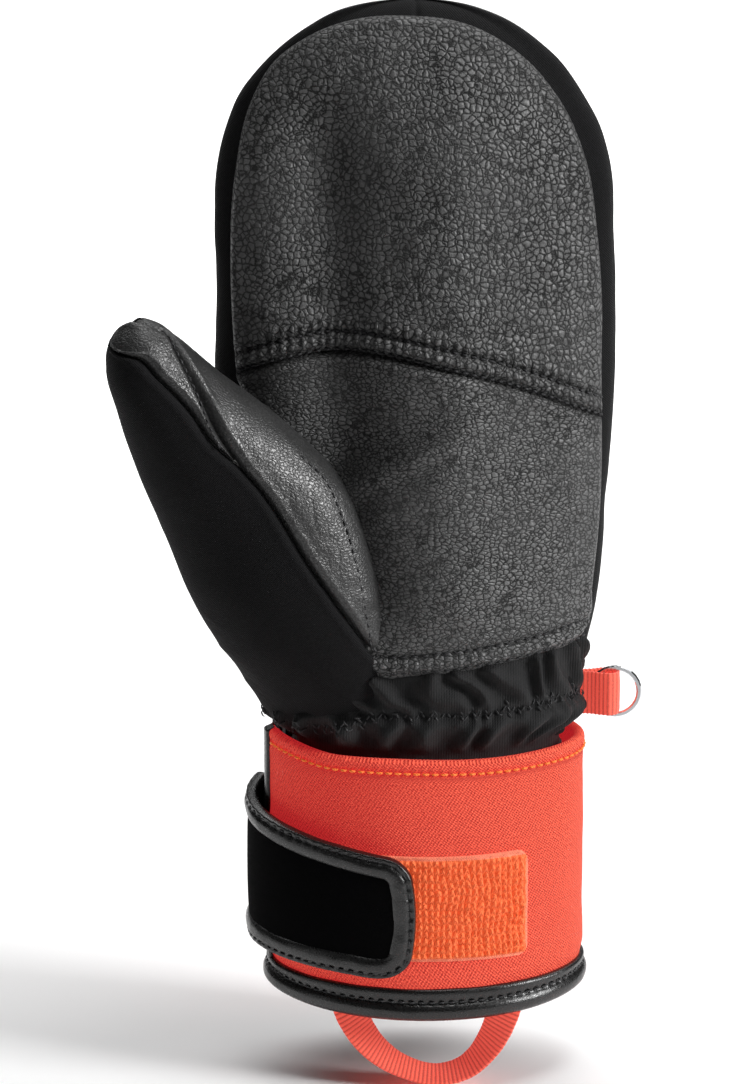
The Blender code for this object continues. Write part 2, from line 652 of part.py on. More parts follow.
def make_closure(mats):
    loop_face = GAP + LOOP_PATCH_WALL
    hook_face = loop_face + GAP
    tab_face = hook_face + HOOK_WALL + GAP
    pivot = arc_point(0, tab_face + TAB_BINDING_WALL / 2, TAB_ROOT_MIDDLE)

    wrapped_strip("cuff_loop_patch", LOOP_PATCH_START, LOOP_PATCH_END, lambda d: LOOP_PATCH_LOW,
                  lambda d: LOOP_PATCH_HIGH, 2.5 * MM, GAP, loop_face, mats["loop"])

    low, high = tab_edges(TAB_BINDING_WIDTH)
    window = wrapped_strip("tab_window", -2 * MM, TAB_REACH - TAB_BINDING_WIDTH, low, high,
                           TAB_CORNER - TAB_BINDING_WIDTH + 1.5 * MM, tab_face - 2 * MM, tab_face + 6 * MM)
    as_cutter(window)
    low, high = tab_edges(0)
    binding = wrapped_strip("closure_tab_binding", 0, TAB_REACH, low, high, TAB_CORNER,
                            tab_face, tab_face + TAB_BINDING_WALL, mats["binding"])
    cut(binding, window)

    low, high = tab_edges(TAB_BINDING_WIDTH + GAP)
    rise = (TAB_BINDING_WALL - TAB_WALL) / 2
    wrapped_strip("closure_tab", 0, TAB_REACH - TAB_BINDING_WIDTH - GAP, low, high,
                  TAB_CORNER - TAB_BINDING_WIDTH + 1.5 * MM, tab_face + rise, tab_face + rise + TAB_WALL,
                  mats["softshell"])

    low, high = tab_edges(TAB_BINDING_WIDTH + 1 * MM)
    end = TAB_REACH - TAB_BINDING_WIDTH
    wrapped_strip("closure_hook_patch", end - HOOK_LENGTH, end, low, high, 2 * MM, hook_face,
                  hook_face + HOOK_WALL, mats["hook"])

    low, high = tab_edges(0)
    wrapped_strip("tab_anchor", -ANCHOR_LENGTH, -1.2 * MM, lambda d: low(0), lambda d: high(0), 1.0 * MM,
                  GAP, GAP + TAB_WALL, mats["softshell"])
    for name in ("closure_tab", "closure_tab_binding", "closure_hook_patch"):
        place_on_axis(bpy.data.objects[name], pivot)
    for name in ("tab_window",):
        place_on_axis(bpy.data.objects[name], pivot)


# ---- Ring and loop -----------------------------------------------------------------------------
def teardrop(root, fold, half_open, grow):
    """Plan outline of the folded webbing: a point at the seam that opens to a round fold."""
    middle = fold - half_open
    neck = RING_WIRE + GAP
    points = [(root - 0.6 * grow, -neck - 0.3 * grow)]
    points.append((root + 0.55 * (middle - root), -0.8 * half_open - grow))
    for turn in np.linspace(-math.pi / 2, math.pi / 2, 9):
        points.append((middle + (half_open + grow) * math.cos(turn), (half_open + grow) * math.sin(turn)))
    points.append((root + 0.55 * (middle - root), 0.8 * half_open + grow))
    points.append((root - 0.6 * grow, neck + 0.3 * grow))
    return points


def make_ring(mats):
    fold = RING_TAB_REACH - WEBBING_WALL
    root = RING_SWING_X - RING_WIRE - GAP

    def webbing_height(x):
        share = (x - RING_PIVOT_X) / (RING_TAB_REACH - RING_PIVOT_X)
        return RING_TAB_ROOT_HEIGHT + (RING_TAB_END_HEIGHT - RING_TAB_ROOT_HEIGHT) * min(1.0, 1.6 * share)

    rings = []
    for side in (-1, 1):
        outline = teardrop(root, fold, RING_TAB_OPENING / 2, WEBBING_WALL)
        rings.append([Vector((x, y, RING_MIDDLE_HEIGHT + side * webbing_height(x) / 2)) for x, y in outline])
    tab = loft("ring_tab", rings, mats["webbing"])
    rings = []
    for side in (-1, 1):
        outline = teardrop(root, fold, RING_TAB_OPENING / 2, 0)
        rings.append([Vector((x, y, RING_MIDDLE_HEIGHT + side * RING_TAB_ROOT_HEIGHT)) for x, y in outline])
    eye = as_cutter(loft("ring_tab_eye", rings))
    cut(tab, eye)
    pivot = Vector((RING_PIVOT_X, 0, RING_MIDDLE_HEIGHT))
    place_on_axis(tab, pivot)
    place_on_axis(eye, pivot)

    centre = RING_SWING_X + RING_RADIUS
    rings = []
    for k in range(28):
        turn = 2 * math.pi * k / 28
        out = Vector((math.cos(turn), 0, math.sin(turn)))
        middle = Vector((centre, 0, RING_MIDDLE_HEIGHT)) + out * RING_RADIUS
        rings.append([middle + RING_WIRE * (out * math.cos(a) + Vector((0, 1, 0)) * math.sin(a))
                      for a in np.linspace(0, 2 * math.pi, 7)[:-1]])
    ring = add_object("steel_ring", *closed_loft(rings), mats["steel"])
    place_on_axis(ring, Vector((RING_SWING_X, 0, RING_MIDDLE_HEIGHT)))


def make_hang_loop(mats):
    """Webbing hung from inside the hem: its face shows on the legs and turns down at the bottom."""
    top = LOOP_PIVOT_Z
    points = [(-LOOP_HALF_SPAN, top), (-0.98 * LOOP_HALF_SPAN, 0.75 * top - 0.25 * LOOP_DROP),
              (-0.72 * LOOP_HALF_SPAN, -0.72 * LOOP_DROP), (-0.3 * LOOP_HALF_SPAN, -0.93 * LOOP_DROP),
              (0.12 * LOOP_HALF_SPAN, -LOOP_DROP + WEBBING_WALL), (0.6 * LOOP_HALF_SPAN, -0.82 * LOOP_DROP),
              (0.92 * LOOP_HALF_SPAN, -0.42 * LOOP_DROP), (LOOP_HALF_SPAN, top)]
    line = smooth_line(points, 33)
    rings = []
    for k, (x, z) in enumerate(line):
        before, after = line[max(k - 1, 0)], line[min(k + 1, 32)]
        run = Vector((after[0] - before[0], 0, after[1] - before[1])).normalized()
        flat = Vector((-run.z, 0, run.x))
        turn = math.radians(15 + 50 * math.sin(math.pi * k / 32))
        wide = flat * math.cos(turn) + Vector((0, 1, 0)) * math.sin(turn)
        thick = run.cross(wide)
        if k in (0, 32):
            wide, thick = Vector((1, 0, 0)), Vector((0, 1, 0))
        middle = Vector((x, LOOP_Y, z))
        a, b = wide * LOOP_WIDTH / 2, thick * WEBBING_WALL / 2
        rings.append([middle - a - b, middle + a - b, middle + a + b, middle - a + b])
    made = loft("hang_loop", rings, mats["webbing"])
    place_on_axis(made, Vector((0, LOOP_Y, LOOP_PIVOT_Z)))


def main():
    clear_scene()
    mats = make_materials()
    make_hand(mats)
    make_insulation(mats)
    make_lining(mats)
    make_elastic(mats)
    make_cuff(mats)
    make_closure(mats)
    make_ring(mats)
    make_hang_loop(mats)


main()
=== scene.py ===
import math

import bmesh
import bpy
import mathutils
import numpy as np
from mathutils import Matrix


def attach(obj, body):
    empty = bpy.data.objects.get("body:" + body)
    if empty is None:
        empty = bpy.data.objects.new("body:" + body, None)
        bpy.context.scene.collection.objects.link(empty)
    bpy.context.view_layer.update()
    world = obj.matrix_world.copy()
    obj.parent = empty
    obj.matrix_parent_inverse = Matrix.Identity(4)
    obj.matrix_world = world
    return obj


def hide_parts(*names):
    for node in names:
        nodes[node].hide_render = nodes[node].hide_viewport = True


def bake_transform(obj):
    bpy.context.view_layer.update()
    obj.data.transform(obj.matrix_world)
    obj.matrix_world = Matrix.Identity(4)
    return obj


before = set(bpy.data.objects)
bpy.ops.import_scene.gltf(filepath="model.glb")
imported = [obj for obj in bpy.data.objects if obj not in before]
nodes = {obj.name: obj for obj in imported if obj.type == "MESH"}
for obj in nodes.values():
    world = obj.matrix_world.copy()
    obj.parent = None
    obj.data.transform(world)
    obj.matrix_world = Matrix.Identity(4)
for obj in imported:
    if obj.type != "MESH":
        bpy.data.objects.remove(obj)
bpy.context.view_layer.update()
mm = 0.001

camData = bpy.data.cameras.new("camera")
camData.lens, camData.sensor_width, camData.sensor_fit = 140.3, 36, "AUTO"
camera = bpy.data.objects.new("camera", camData)
bpy.context.scene.collection.objects.link(camera)
camera.location = (-0.01207, -0.9703, 0.3495)
aim = mathutils.Vector((-0.01207, 0, 0.1076)) - camera.location
camera.rotation_euler = aim.to_track_quat("-Z", "Y").to_euler()
bpy.context.scene.camera = camera


# ---- Curves, noise and mesh helpers. Lengths are in millimetres until a mesh is made.

def smooth(knots, values, x):
    # Cubic through the knots, with slopes taken from the neighbouring knots.
    k, v = np.asarray(knots, float), np.asarray(values, float)
    x = np.asarray(x, float)
    slope = np.gradient(v, k, axis=0)
    i = np.clip(np.searchsorted(k, x) - 1, 0, len(k) - 2)
    h = k[i + 1] - k[i]
    u = np.clip((x - k[i]) / h, 0, 1)
    if v.ndim > 1:
        h, u = h[..., None], u[..., None]
    start = (2 * u**3 - 3 * u**2 + 1) * v[i] + (u**3 - 2 * u**2 + u) * h * slope[i]
    return start + (3 * u**2 - 2 * u**3) * v[i + 1] + (u**3 - u**2) * h * slope[i + 1]


def along(points, count, closed=False):
    # Even steps of arc length on a smooth curve through the points.
    p = np.asarray(points, float)
    if closed:
        p = np.concatenate([p[-2:], p, p[:3]])
    k = np.concatenate([[0], np.cumsum(np.linalg.norm(np.diff(p, axis=0), axis=1))])
    first, last = (k[2], k[-3]) if closed else (k[0], k[-1])
    fine = smooth(k, p, np.linspace(first, last, 1200))
    d = np.concatenate([[0], np.cumsum(np.linalg.norm(np.diff(fine, axis=0), axis=1))])
    want = np.linspace(0, d[-1], count, endpoint=not closed)
    return np.stack([np.interp(want, d, fine[:, c]) for c in range(p.shape[1])], axis=1)


def lengthOf(line):
    return np.linalg.norm(np.diff(line, axis=0), axis=1).sum()


def noise(p, size, seed=0):
    # Values hashed on a cubic lattice and blended smoothly, from -1 to 1.
    q = np.asarray(p, float) / size + seed * 17.31
    base = np.floor(q).astype(np.int64)
    f = q - base
    f = f * f * (3 - 2 * f)
    total = 0.0
    for corner in np.ndindex(2, 2, 2):
        i = base + np.array(corner)
        h = (i[..., 0] * 374761393 + i[..., 1] * 668265263 + i[..., 2] * 1013904223 + seed * 974711) & 0xFFFFFFFF
        h = ((h ^ (h >> 13)) * 1274126177) & 0xFFFFFFFF
        h = ((h ^ (h >> 16)) * 2246822519) & 0xFFFFFFFF
        weight = np.where(np.array(corner) == 1, f, 1 - f).prod(axis=-1)
        total = total + weight * (h / 2147483647.5 - 1)
    return total


def ridges(p, size, seed=0):
    # One at the crest of each fold and falling to zero between folds.
    return (1 - np.abs(noise(p, size, seed))) ** 2


def unit(v):
    return v / np.maximum(np.linalg.norm(v, axis=-1, keepdims=True), 1e-12)


def step(a, b, x):
    u = np.clip((x - a) / (b - a), 0, 1)
    return u * u * (3 - 2 * u)


def stack(*parts):
    return np.stack(np.broadcast_arrays(*[np.asarray(q, float) for q in parts]), axis=-1)


def build(name, points, faces, material, uv=None):
    mesh = bpy.data.meshes.new(name)
    mesh.from_pydata((np.asarray(points) * mm).tolist(), [], np.asarray(faces).tolist())
    if uv is not None:
        layer = mesh.uv_layers.new(name="fabricMap")
        corner = np.empty(len(mesh.loops), np.int32)
        mesh.loops.foreach_get("vertex_index", corner)
        layer.data.foreach_set("uv", (np.asarray(uv) * mm)[corner].ravel())
    work = bmesh.new()
    work.from_mesh(mesh)
    bmesh.ops.remove_doubles(work, verts=work.verts, dist=2e-6)
    bmesh.ops.dissolve_degenerate(work, edges=work.edges, dist=1e-7)
    work.to_mesh(mesh)
    work.free()
    mesh.polygons.foreach_set("use_smooth", [True] * len(mesh.polygons))
    mesh.update()
    made = bpy.data.objects.new(name, mesh)
    bpy.context.scene.collection.objects.link(made)
    if material:
        made.data.materials.append(material)
    return made


def grid(name, points, material, wrapRows=False, wrapCols=False, flip=False, uv=None):
    # Quads over an array of points, joined end to end where it wraps.
    rows, cols = points.shape[:2]
    r = np.arange(rows if wrapRows else rows - 1)
    c = np.arange(cols if wrapCols else cols - 1)
    r0, c0 = np.meshgrid(r, c, indexing="ij")
    r1, c1 = (r0 + 1) % rows, (c0 + 1) % cols
    quads = np.stack([r0 * cols + c0, r0 * cols + c1, r1 * cols + c1, r1 * cols + c0], axis=-1).reshape(-1, 4)
    if flip:
        quads = quads[:, ::-1]
    flat = None if uv is None else uv.reshape(-1, 2)
    return build(name, points.reshape(-1, 3), quads, material, flat)


def gridNormals(points):
    return unit(np.cross(np.gradient(points, axis=0), np.gradient(points, axis=1)))


def sweep(path, outward, profile):
    # Each profile point (out, up) is laid off from the path along outward and along path x outward.
    run = unit(np.gradient(path, axis=0))
    out = unit(outward - (outward * run).sum(axis=1, keepdims=True) * run)
    up = np.cross(run, out)
    return path[:, None] + out[:, None] * profile[:, :1] + up[:, None] * profile[:, 1:]


def rounded(width, height, count, power):
    # Flattened oval of that width and height.
    a = np.linspace(0, 2 * np.pi, count, endpoint=False)
    flat = np.stack([np.cos(a), np.sin(a)], axis=1)
    return np.sign(flat) * np.abs(flat) ** power * [width / 2, height / 2]


def threads(name, path, normals, material, pitch=2.2, length=1.7, width=0.5, height=0.42, sink=0.0):
    # A row of short raised threads: a spindle per stitch that dives into the cloth at both ends.
    total = lengthOf(path)
    count = max(2, int(round(total / pitch)))
    at = (np.arange(count) + 0.5) / count
    source = np.concatenate([[0], np.cumsum(np.linalg.norm(np.diff(path, axis=0), axis=1))]) / total
    centre = np.stack([np.interp(at, source, path[:, c]) for c in range(3)], axis=1)
    run = unit(np.stack([np.interp(at, source, np.gradient(path, axis=0)[:, c]) for c in range(3)], axis=1))
    up = unit(np.stack([np.interp(at, source, normals[:, c]) for c in range(3)], axis=1))
    side = unit(np.cross(up, run))
    x = np.array([-1, -0.8, -0.4, 0, 0.4, 0.8, 1]) * length / 2
    fat = np.array([0, 0.75, 0.95, 1, 0.95, 0.75, 0])
    lift = height * (0.55 - 1.2 * (2 * x / length) ** 4) - sink
    a = np.linspace(0, 2 * np.pi, 6, endpoint=False)
    wide = fat[:, None] * np.cos(a) * width / 2
    tall = fat[:, None] * np.sin(a) * height / 2 + lift[:, None]
    points = (centre[:, None, None] + run[:, None, None] * x[None, :, None, None]
              + side[:, None, None] * wide[None, ..., None] + up[:, None, None] * tall[None, ..., None])
    rings, around = len(x), len(a)
    i, j = np.meshgrid(np.arange(rings - 1), np.arange(around), indexing="ij")
    k = (j + 1) % around
    one = np.stack([i * around + j, i * around + k, (i + 1) * around + k, (i + 1) * around + j], axis=-1)
    one = one.reshape(-1, 4)
    faces = (one[None] + (np.arange(count) * rings * around)[:, None, None]).reshape(-1, 4)
    return build(name, points.reshape(-1, 3), faces, material)


def ride(made, body, stands=()):
    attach(made, body)
    if stands:
        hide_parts(*stands)
    return made


# ---- Materials: procedural, on object coordinates in metres or on the fabric map.

def blank(name, colour, roughness, specular=0.5):
    made = bpy.data.materials.new(name)
    made.use_nodes = True
    shader = made.node_tree.nodes["Principled BSDF"]
    shader.inputs["Base Color"].default_value = (*colour, 1)
    shader.inputs["Roughness"].default_value = roughness
    shader.inputs["Specular IOR Level"].default_value = specular
    return made, made.node_tree, shader


def put(tree, kind, settings=(), **inputs):
    node = tree.nodes.new("ShaderNode" + kind)
    for key, value in dict(settings).items():
        setattr(node, key, value)
    for key, value in inputs.items():
        socket = node.inputs[int(key[1:])] if key[0] == "_" else node.inputs[key]
        if hasattr(value, "links"):
            tree.links.new(value, socket)
        else:
            socket.default_value = value
    return node


def mathNode(tree, operation, a, b=0.0):
    return put(tree, "Math", {"operation": operation}, _0=a, _1=b).outputs[0]


def times(tree, a, b):
    return mathNode(tree, "MULTIPLY", a, b)


def plus(tree, a, b):
    return mathNode(tree, "ADD", a, b)


def remap(tree, value, low, high, toLow=0.0, toHigh=1.0):
    node = put(tree, "MapRange", {"clamp": True})
    tree.links.new(value, node.inputs["Value"])
    for key, v in (("From Min", low), ("From Max", high), ("To Min", toLow), ("To Max", toHigh)):
        node.inputs[key].default_value = v
    return node.outputs["Result"]


def mixColour(tree, share, a, b):
    node = put(tree, "Mix", {"data_type": "RGBA"})
    for index, value in ((0, share), (6, a), (7, b)):
        if hasattr(value, "links"):
            tree.links.new(value, node.inputs[index])
        else:
            node.inputs[index].default_value = value if index == 0 else (*value, 1)
    return node.outputs[2]


def place(tree, scale=(1, 1, 1), useMap=False):
    source = put(tree, "TexCoord").outputs["UV" if useMap else "Object"]
    return put(tree, "Mapping", Vector=source, Scale=scale).outputs[0]


def bump(tree, shader, height, distance):
    node = put(tree, "Bump", Height=height, Distance=distance * mm, Strength=1.0)
    tree.links.new(node.outputs[0], shader.inputs["Normal"])


def leather(name, tone, cell, stretch, roughness, crack, depth):
    # Domed cells between dark cracks, on coordinates bent by a noise, with fine wrinkles. The cracks are
    # darkened in the colour, partly the grain's own colour and partly painted shade. The wrinkle lines are
    # darkened as painted shade.
    made, tree, shader = blank(name, (tone, tone, tone), roughness, 0.75)
    at = place(tree, stretch)
    bend = put(tree, "TexNoise", Vector=at, Scale=330.0, Detail=4.0, Roughness=0.65).outputs["Color"]
    offset = put(tree, "VectorMath", {"operation": "SCALE"}, _0=bend, Scale=0.0019).outputs[0]
    moved = put(tree, "VectorMath", {"operation": "ADD"}, _0=at, _1=offset).outputs[0]
    edges = put(tree, "TexVoronoi", {"feature": "DISTANCE_TO_EDGE"}, Vector=moved, Scale=1000.0 / cell,
                Randomness=0.85).outputs["Distance"]
    fine = put(tree, "TexVoronoi", {"feature": "DISTANCE_TO_EDGE"}, Vector=moved,
               Scale=2600.0 / cell).outputs["Distance"]
    dome = remap(tree, mathNode(tree, "POWER", remap(tree, edges, 0.0, 0.36), 0.6), 0, 1)
    gap = remap(tree, edges, 0.03, 0.19)
    slow = put(tree, "TexNoise", Vector=at, Scale=55.0, Detail=4.0).outputs["Fac"]
    wrinkle = put(tree, "TexNoise", Vector=at, Scale=130.0, Detail=6.0, Roughness=0.62,
                  Distortion=0.9).outputs["Fac"]
    crease = remap(tree, mathNode(tree, "ABSOLUTE", mathNode(tree, "SUBTRACT", wrinkle, 0.5)), 0.0, 0.03)
    worn = remap(tree, slow, 0.35, 0.65)
    deep = remap(tree, worn, 0, 1, 0.7, 1.0)
    # Colour mask of the cracks: grain colour plus painted shade in the recesses.
    crackGrainAndShade = times(tree, mathNode(tree, "SUBTRACT", 1.0, gap), deep)
    top = mathNode(tree, "SUBTRACT", 1.0, times(tree, crackGrainAndShade, crack))
    # Painted shade: the colour is darkened along the wrinkle lines.
    top = times(tree, top, remap(tree, crease, 0, 1, 0.82, 1.0))
    shade = mixColour(tree, worn, (tone * 0.85,) * 3, (tone * 1.15,) * 3)
    tree.links.new(mixColour(tree, top, (tone * 0.05,) * 3, shade), shader.inputs["Base Color"])
    tree.links.new(remap(tree, top, 0, 1, roughness + 0.3, roughness), shader.inputs["Roughness"])
    tree.links.new(remap(tree, top, 0.1, 0.8, 0.3, 0.72), shader.inputs["Specular IOR Level"])
    height = plus(tree, times(tree, dome, 0.7), times(tree, fine, 0.15))
    height = plus(tree, height, times(tree, crease, 0.3))
    bump(tree, shader, height, depth)
    return made


def paintedGlow(material, colour, strength):
    # Painted light: an emission in the cloth's own tone, so the part glows though it is no lamp.
    tree = material.node_tree
    shader = tree.nodes["Principled BSDF"]
    share = shader.inputs["Base Color"].links[0].from_node.inputs[0].links[0].from_socket
    lit = mixColour(tree, share, tuple(c * 0.55 for c in colour), colour)
    tree.links.new(lit, shader.inputs["Emission Color"])
    shader.inputs["Emission Strength"].default_value = strength


def woven(name, colour, pitch, roughness, sheen, slant, depth, fleckAndShade, useMap=False, shine=0.3):
    # Two sets of crossing threads, as one sine times another, under a fine fuzz.
    made, tree, shader = blank(name, colour, roughness, shine)
    shader.inputs["Sheen Weight"].default_value = sheen
    shader.inputs["Sheen Roughness"].default_value = 0.45
    at = place(tree, (1, 1, 1), useMap)
    parts = put(tree, "SeparateXYZ", Vector=at)
    first, second = parts.outputs[0], parts.outputs[1 if useMap else 2]
    turn = 2 * math.pi / (pitch * mm)
    leaning = plus(tree, first, times(tree, second, slant))
    a = mathNode(tree, "SINE", times(tree, leaning, turn))
    b = mathNode(tree, "SINE", times(tree, second, turn))
    weave = times(tree, a, b)
    fuzz = put(tree, "TexNoise", Vector=at, Scale=2500.0, Detail=3.0).outputs["Fac"]
    # The colour follows the same fuzz and weave as the bump: the yarn's random fleck, plus painted shade in the
    # hollows.
    tone = remap(tree, plus(tree, times(tree, fuzz, 0.9), times(tree, weave, 0.14)), 0.25, 0.65)
    low = tuple(c * (1 - fleckAndShade) for c in colour)
    high = tuple(min(1, c * (1 + fleckAndShade)) for c in colour)
    tree.links.new(mixColour(tree, tone, low, high), shader.inputs["Base Color"])
    height = plus(tree, times(tree, weave, 0.5), fuzz)
    bump(tree, shader, height, depth)
    return made


def thread(name, colour):
    # Two-ply sewing thread: a fine slanted twist.
    made, tree, shader = blank(name, colour, 0.55, 0.4)
    at = place(tree)
    twist = put(tree, "TexWave", {"bands_direction": "DIAGONAL"}, Vector=at, Scale=900.0, Distortion=0.6)
    bump(tree, shader, twist.outputs["Fac"], 0.05)
    # Painted shade: the colour is darker in the grooves of the twist.
    tree.links.new(mixColour(tree, twist.outputs["Fac"], tuple(c * 0.7 for c in colour), colour),
                   shader.inputs["Base Color"])
    return made


def webbingMaterial(name, colour, pitch=1.0):
    # Ribs across the tape with a diagonal nap inside each rib.
    made, tree, shader = blank(name, colour, 0.6, 0.35)
    shader.inputs["Sheen Weight"].default_value = 0.2
    at = place(tree, (1, 1, 1), True)
    parts = put(tree, "SeparateXYZ", Vector=at)
    lengthwise, across = parts.outputs[0], parts.outputs[1]
    turn = 2 * math.pi / (pitch * mm)
    rib = mathNode(tree, "SINE", times(tree, lengthwise, turn))
    nap = mathNode(tree, "SINE", times(tree, plus(tree, across, lengthwise), turn * 2.6))
    fuzz = put(tree, "TexNoise", Vector=at, Scale=2200.0, Detail=3.0).outputs["Fac"]
    height = plus(tree, times(tree, rib, 0.5),
                      plus(tree, times(tree, nap, 0.14), fuzz))
    # Painted shade: the colour is darker in the hollows between ribs, following the rib height.
    share = remap(tree, plus(tree, times(tree, rib, 0.5), fuzz), 0.0, 0.95)
    tree.links.new(mixColour(tree, share, tuple(c * 0.5 for c in colour), colour), shader.inputs["Base Color"])
    bump(tree, shader, height, 0.16)
    return made


def steelMaterial():
    made, tree, shader = blank("polishedSteel", (0.72, 0.73, 0.75), 0.14)
    shader.inputs["Metallic"].default_value = 1.0
    at = place(tree)
    scratch = put(tree, "TexNoise", Vector=at, Scale=1400.0, Detail=4.0).outputs["Fac"]
    tree.links.new(remap(tree, scratch, 0.3, 0.7, 0.08, 0.24), shader.inputs["Roughness"])
    bump(tree, shader, scratch, 0.004)
    return made


fingerLeather = leather("fingerLeather", 0.088, 1.4, (0.95, 1.0, 1.0), 0.42, 0.97, 0.42)
heelLeather = leather("heelLeather", 0.09, 1.15, (0.8, 1.0, 1.25), 0.43, 0.95, 0.36)
thumbLeather = leather("thumbLeather", 0.03, 0.9, (0.8, 1.0, 1.1), 0.33, 0.5, 0.09)
trimLeather = leather("trimLeather", 0.006, 0.8, (1.0, 1.0, 1.0), 0.26, 0.3, 0.03)
softshell = woven("softshell", (0.007, 0.007, 0.0075), 0.55, 0.85, 0.05, 0.0, 0.12, 0.5, shine=0.12)
twill = woven("wristTwill", (0.009, 0.009, 0.0095), 0.6, 0.7, 0.05, 1.0, 0.12, 0.3, shine=0.3)
tabCloth = woven("tabCloth", (0.002, 0.002, 0.0022), 0.45, 0.9, 0.0, 0.0, 0.05, 0.3, shine=0.04)
neoprene = woven("neopreneKnit", (0.6, 0.12, 0.06), 0.9, 0.8, 0.04, 0.35, 0.5, 0.5, True, shine=0.12)
lining = woven("fleeceLining", (0.03, 0.03, 0.033), 0.9, 0.95, 0.4, 0.0, 0.15, 0.3)
wadding = woven("wadding", (0.6, 0.6, 0.58), 2.0, 0.95, 0.2, 0.4, 0.3, 0.15)
loopKnit = woven("loopKnit", (0.85, 0.16, 0.05), 0.5, 0.8, 0.1, 0.6, 0.12, 0.45)
loopRim = woven("loopRim", (0.75, 0.22, 0.13), 0.6, 0.8, 0.1, 0.0, 0.08, 0.3)
hookPlastic = woven("hookPlastic", (0.01, 0.01, 0.01), 1.2, 0.5, 0.0, 0.0, 0.3, 0.3)
elastic = woven("elastic", (0.5, 0.5, 0.48), 0.8, 0.7, 0.1, 0.0, 0.1, 0.15)
webbing = webbingMaterial("webbing", (0.75, 0.13, 0.07), 1.0)
# Painted light: the red cuff, webbing, loop patch and loop rim are made to glow.
paintedGlow(neoprene, (1.0, 0.03, 0.04), 0.5)
paintedGlow(webbing, (1.0, 0.09, 0.07), 0.6)
paintedGlow(loopKnit, (1.0, 0.13, 0.04), 0.42)
paintedGlow(loopRim, (1.0, 0.14, 0.08), 0.3)
steel = steelMaterial()
blackThread = thread("blackThread", (0.03, 0.03, 0.032))
orangeThread = thread("orangeThread", (0.9, 0.22, 0.04))
# Painted light: the orange thread is made to glow.
paintedGlow(orangeThread, (1.0, 0.2, 0.03), 0.35)
print("materials made")


# ---- The hand: an oval at each height, drawn in to a dome above the fingers.

domeBase, domeHeight = 190.0, 46.0
hand = {
    "heights": [60, 64.85, 70, 78, 90, 118, 160, 190],
    "half": [32.35, 32.75, 35.8, 36.9, 39.85, 43.86, 46.4, 45.8],
    "shift": [0, 0, 0, -0.14, -0.61, -1.77, -2.65, -3.4],
    "palm": [22, 22.22, 23.1, 23.76, 24.64, 23.32, 20.9, 17.6],
    "back": [23, 23.23, 24.15, 24.6, 25.3, 24.4, 22.1, 18.4],
}


def handSizes(height):
    low = np.minimum(height, domeBase)
    c, half, palm, back = [smooth(hand["heights"], hand[k], low) for k in ("shift", "half", "palm", "back")]
    rise = np.arcsin(np.clip((height - domeBase) / domeHeight, 0, 1))
    taper = np.cos(rise) ** 0.96
    return c, half * taper, palm * taper, back * taper


def hollow(x, z):
    # How far the palm sinks: a shallow trough above the thumb, fading at the fingertips and heel.
    fade = step(228, 200, z) * step(84, 105, z)
    trough = 4.1 * np.exp(-(((x + 21 + 0.05 * (z - 160)) / 9.5) ** 2))
    swell = -2.6 * np.exp(-(((x - 6) / 11.5) ** 2))
    return fade * (trough + swell)


def palmPoint(x, z):
    # Point of the palm side straight behind x, z.
    c, half, palm, back = handSizes(z)
    q = np.clip((x - c) / np.maximum(half, 1e-6), -0.9995, 0.9995)
    return stack(x, -palm * np.sqrt(1 - q * q) + hollow(x, z), z)


def palmNormal(x, z):
    a = palmPoint(x + 0.4, z) - palmPoint(x - 0.4, z)
    b = palmPoint(x, z + 0.4) - palmPoint(x, z - 0.4)
    return unit(np.cross(a, b))


def handShell():
    # Whole softshell body, with slow folds that fade under the palm leather.
    dome = domeBase + domeHeight * np.sin(np.linspace(0, np.pi / 2, 56))
    heights = np.concatenate([np.linspace(62, domeBase, 150), dome[1:]])
    turns = np.linspace(0, 2 * np.pi, 260, endpoint=False)
    h, t = np.meshgrid(heights, turns, indexing="ij")
    c, half, palm, back = handSizes(h)
    depth = np.where(np.sin(t) < 0, palm, back)
    points = stack(c + half * np.cos(t), depth * np.sin(t), h)
    up = 0.3 * step(domeBase, 236, h) / 20
    out = unit(stack(np.cos(t) / np.maximum(half, 1), np.sin(t) / np.maximum(depth, 1), up))
    palmSide = step(-0.18, -0.5, np.sin(t))
    folds = 0.55 * noise(points * [1, 1, 0.7], 17, 3) + 0.3 * noise(points, 8, 4)
    pull = 0.5 * ridges(points * [1, 1, 3.0], 30, 8) * step(110, 80, h)
    rim = 0.5 * np.exp(-(((np.sin(t) + 0.1) / 0.35) ** 2))
    points = points + out * ((folds + pull) * (1 - palmSide) + rim - 1.3 * palmSide)[..., None]
    points[..., 1] += hollow(points[..., 0], points[..., 2]) * palmSide
    notch = np.exp(-((points[..., 0] + 2.6) / 0.8) ** 2) * step(220, 230, h)
    points = points - out * (0.7 * notch)[..., None]
    return grid("handSoftshell", points, softshell, wrapCols=True)


body = ride(handShell(), "mitten", ["back_shell"])
print("hand body made")


# ---- Palm leather: each panel fans out between two edge lines and dips at its rim.

def creaseHeight(x):
    return smooth([-46, -34, -16, 4, 24, 42], [150.2, 155, 157.6, 154.4, 148.1, 139.6], x)


def heelHeight(x):
    return 81.5 + 5.5 * np.clip((x + 8) / 46, 0, 1) ** 1.3


def edgeDistance(points, outline):
    flat = points.reshape(-1, 2)
    near = [((part[:, None] - outline[None]) ** 2).sum(axis=2).min(axis=1) for part in np.array_split(flat, 60)]
    return np.sqrt(np.concatenate(near)).reshape(points.shape[:2])


def fan(low, high, rows, bias=1.0):
    v = np.linspace(0, 1, rows)[:, None, None] ** bias
    return low[None] * (1 - v) + high[None] * v


def groove(points, line, width):
    # Distance to a drawn line turned into a soft notch.
    d = edgeDistance(points, along(line, 160))
    return np.exp(-(d / width) ** 2)


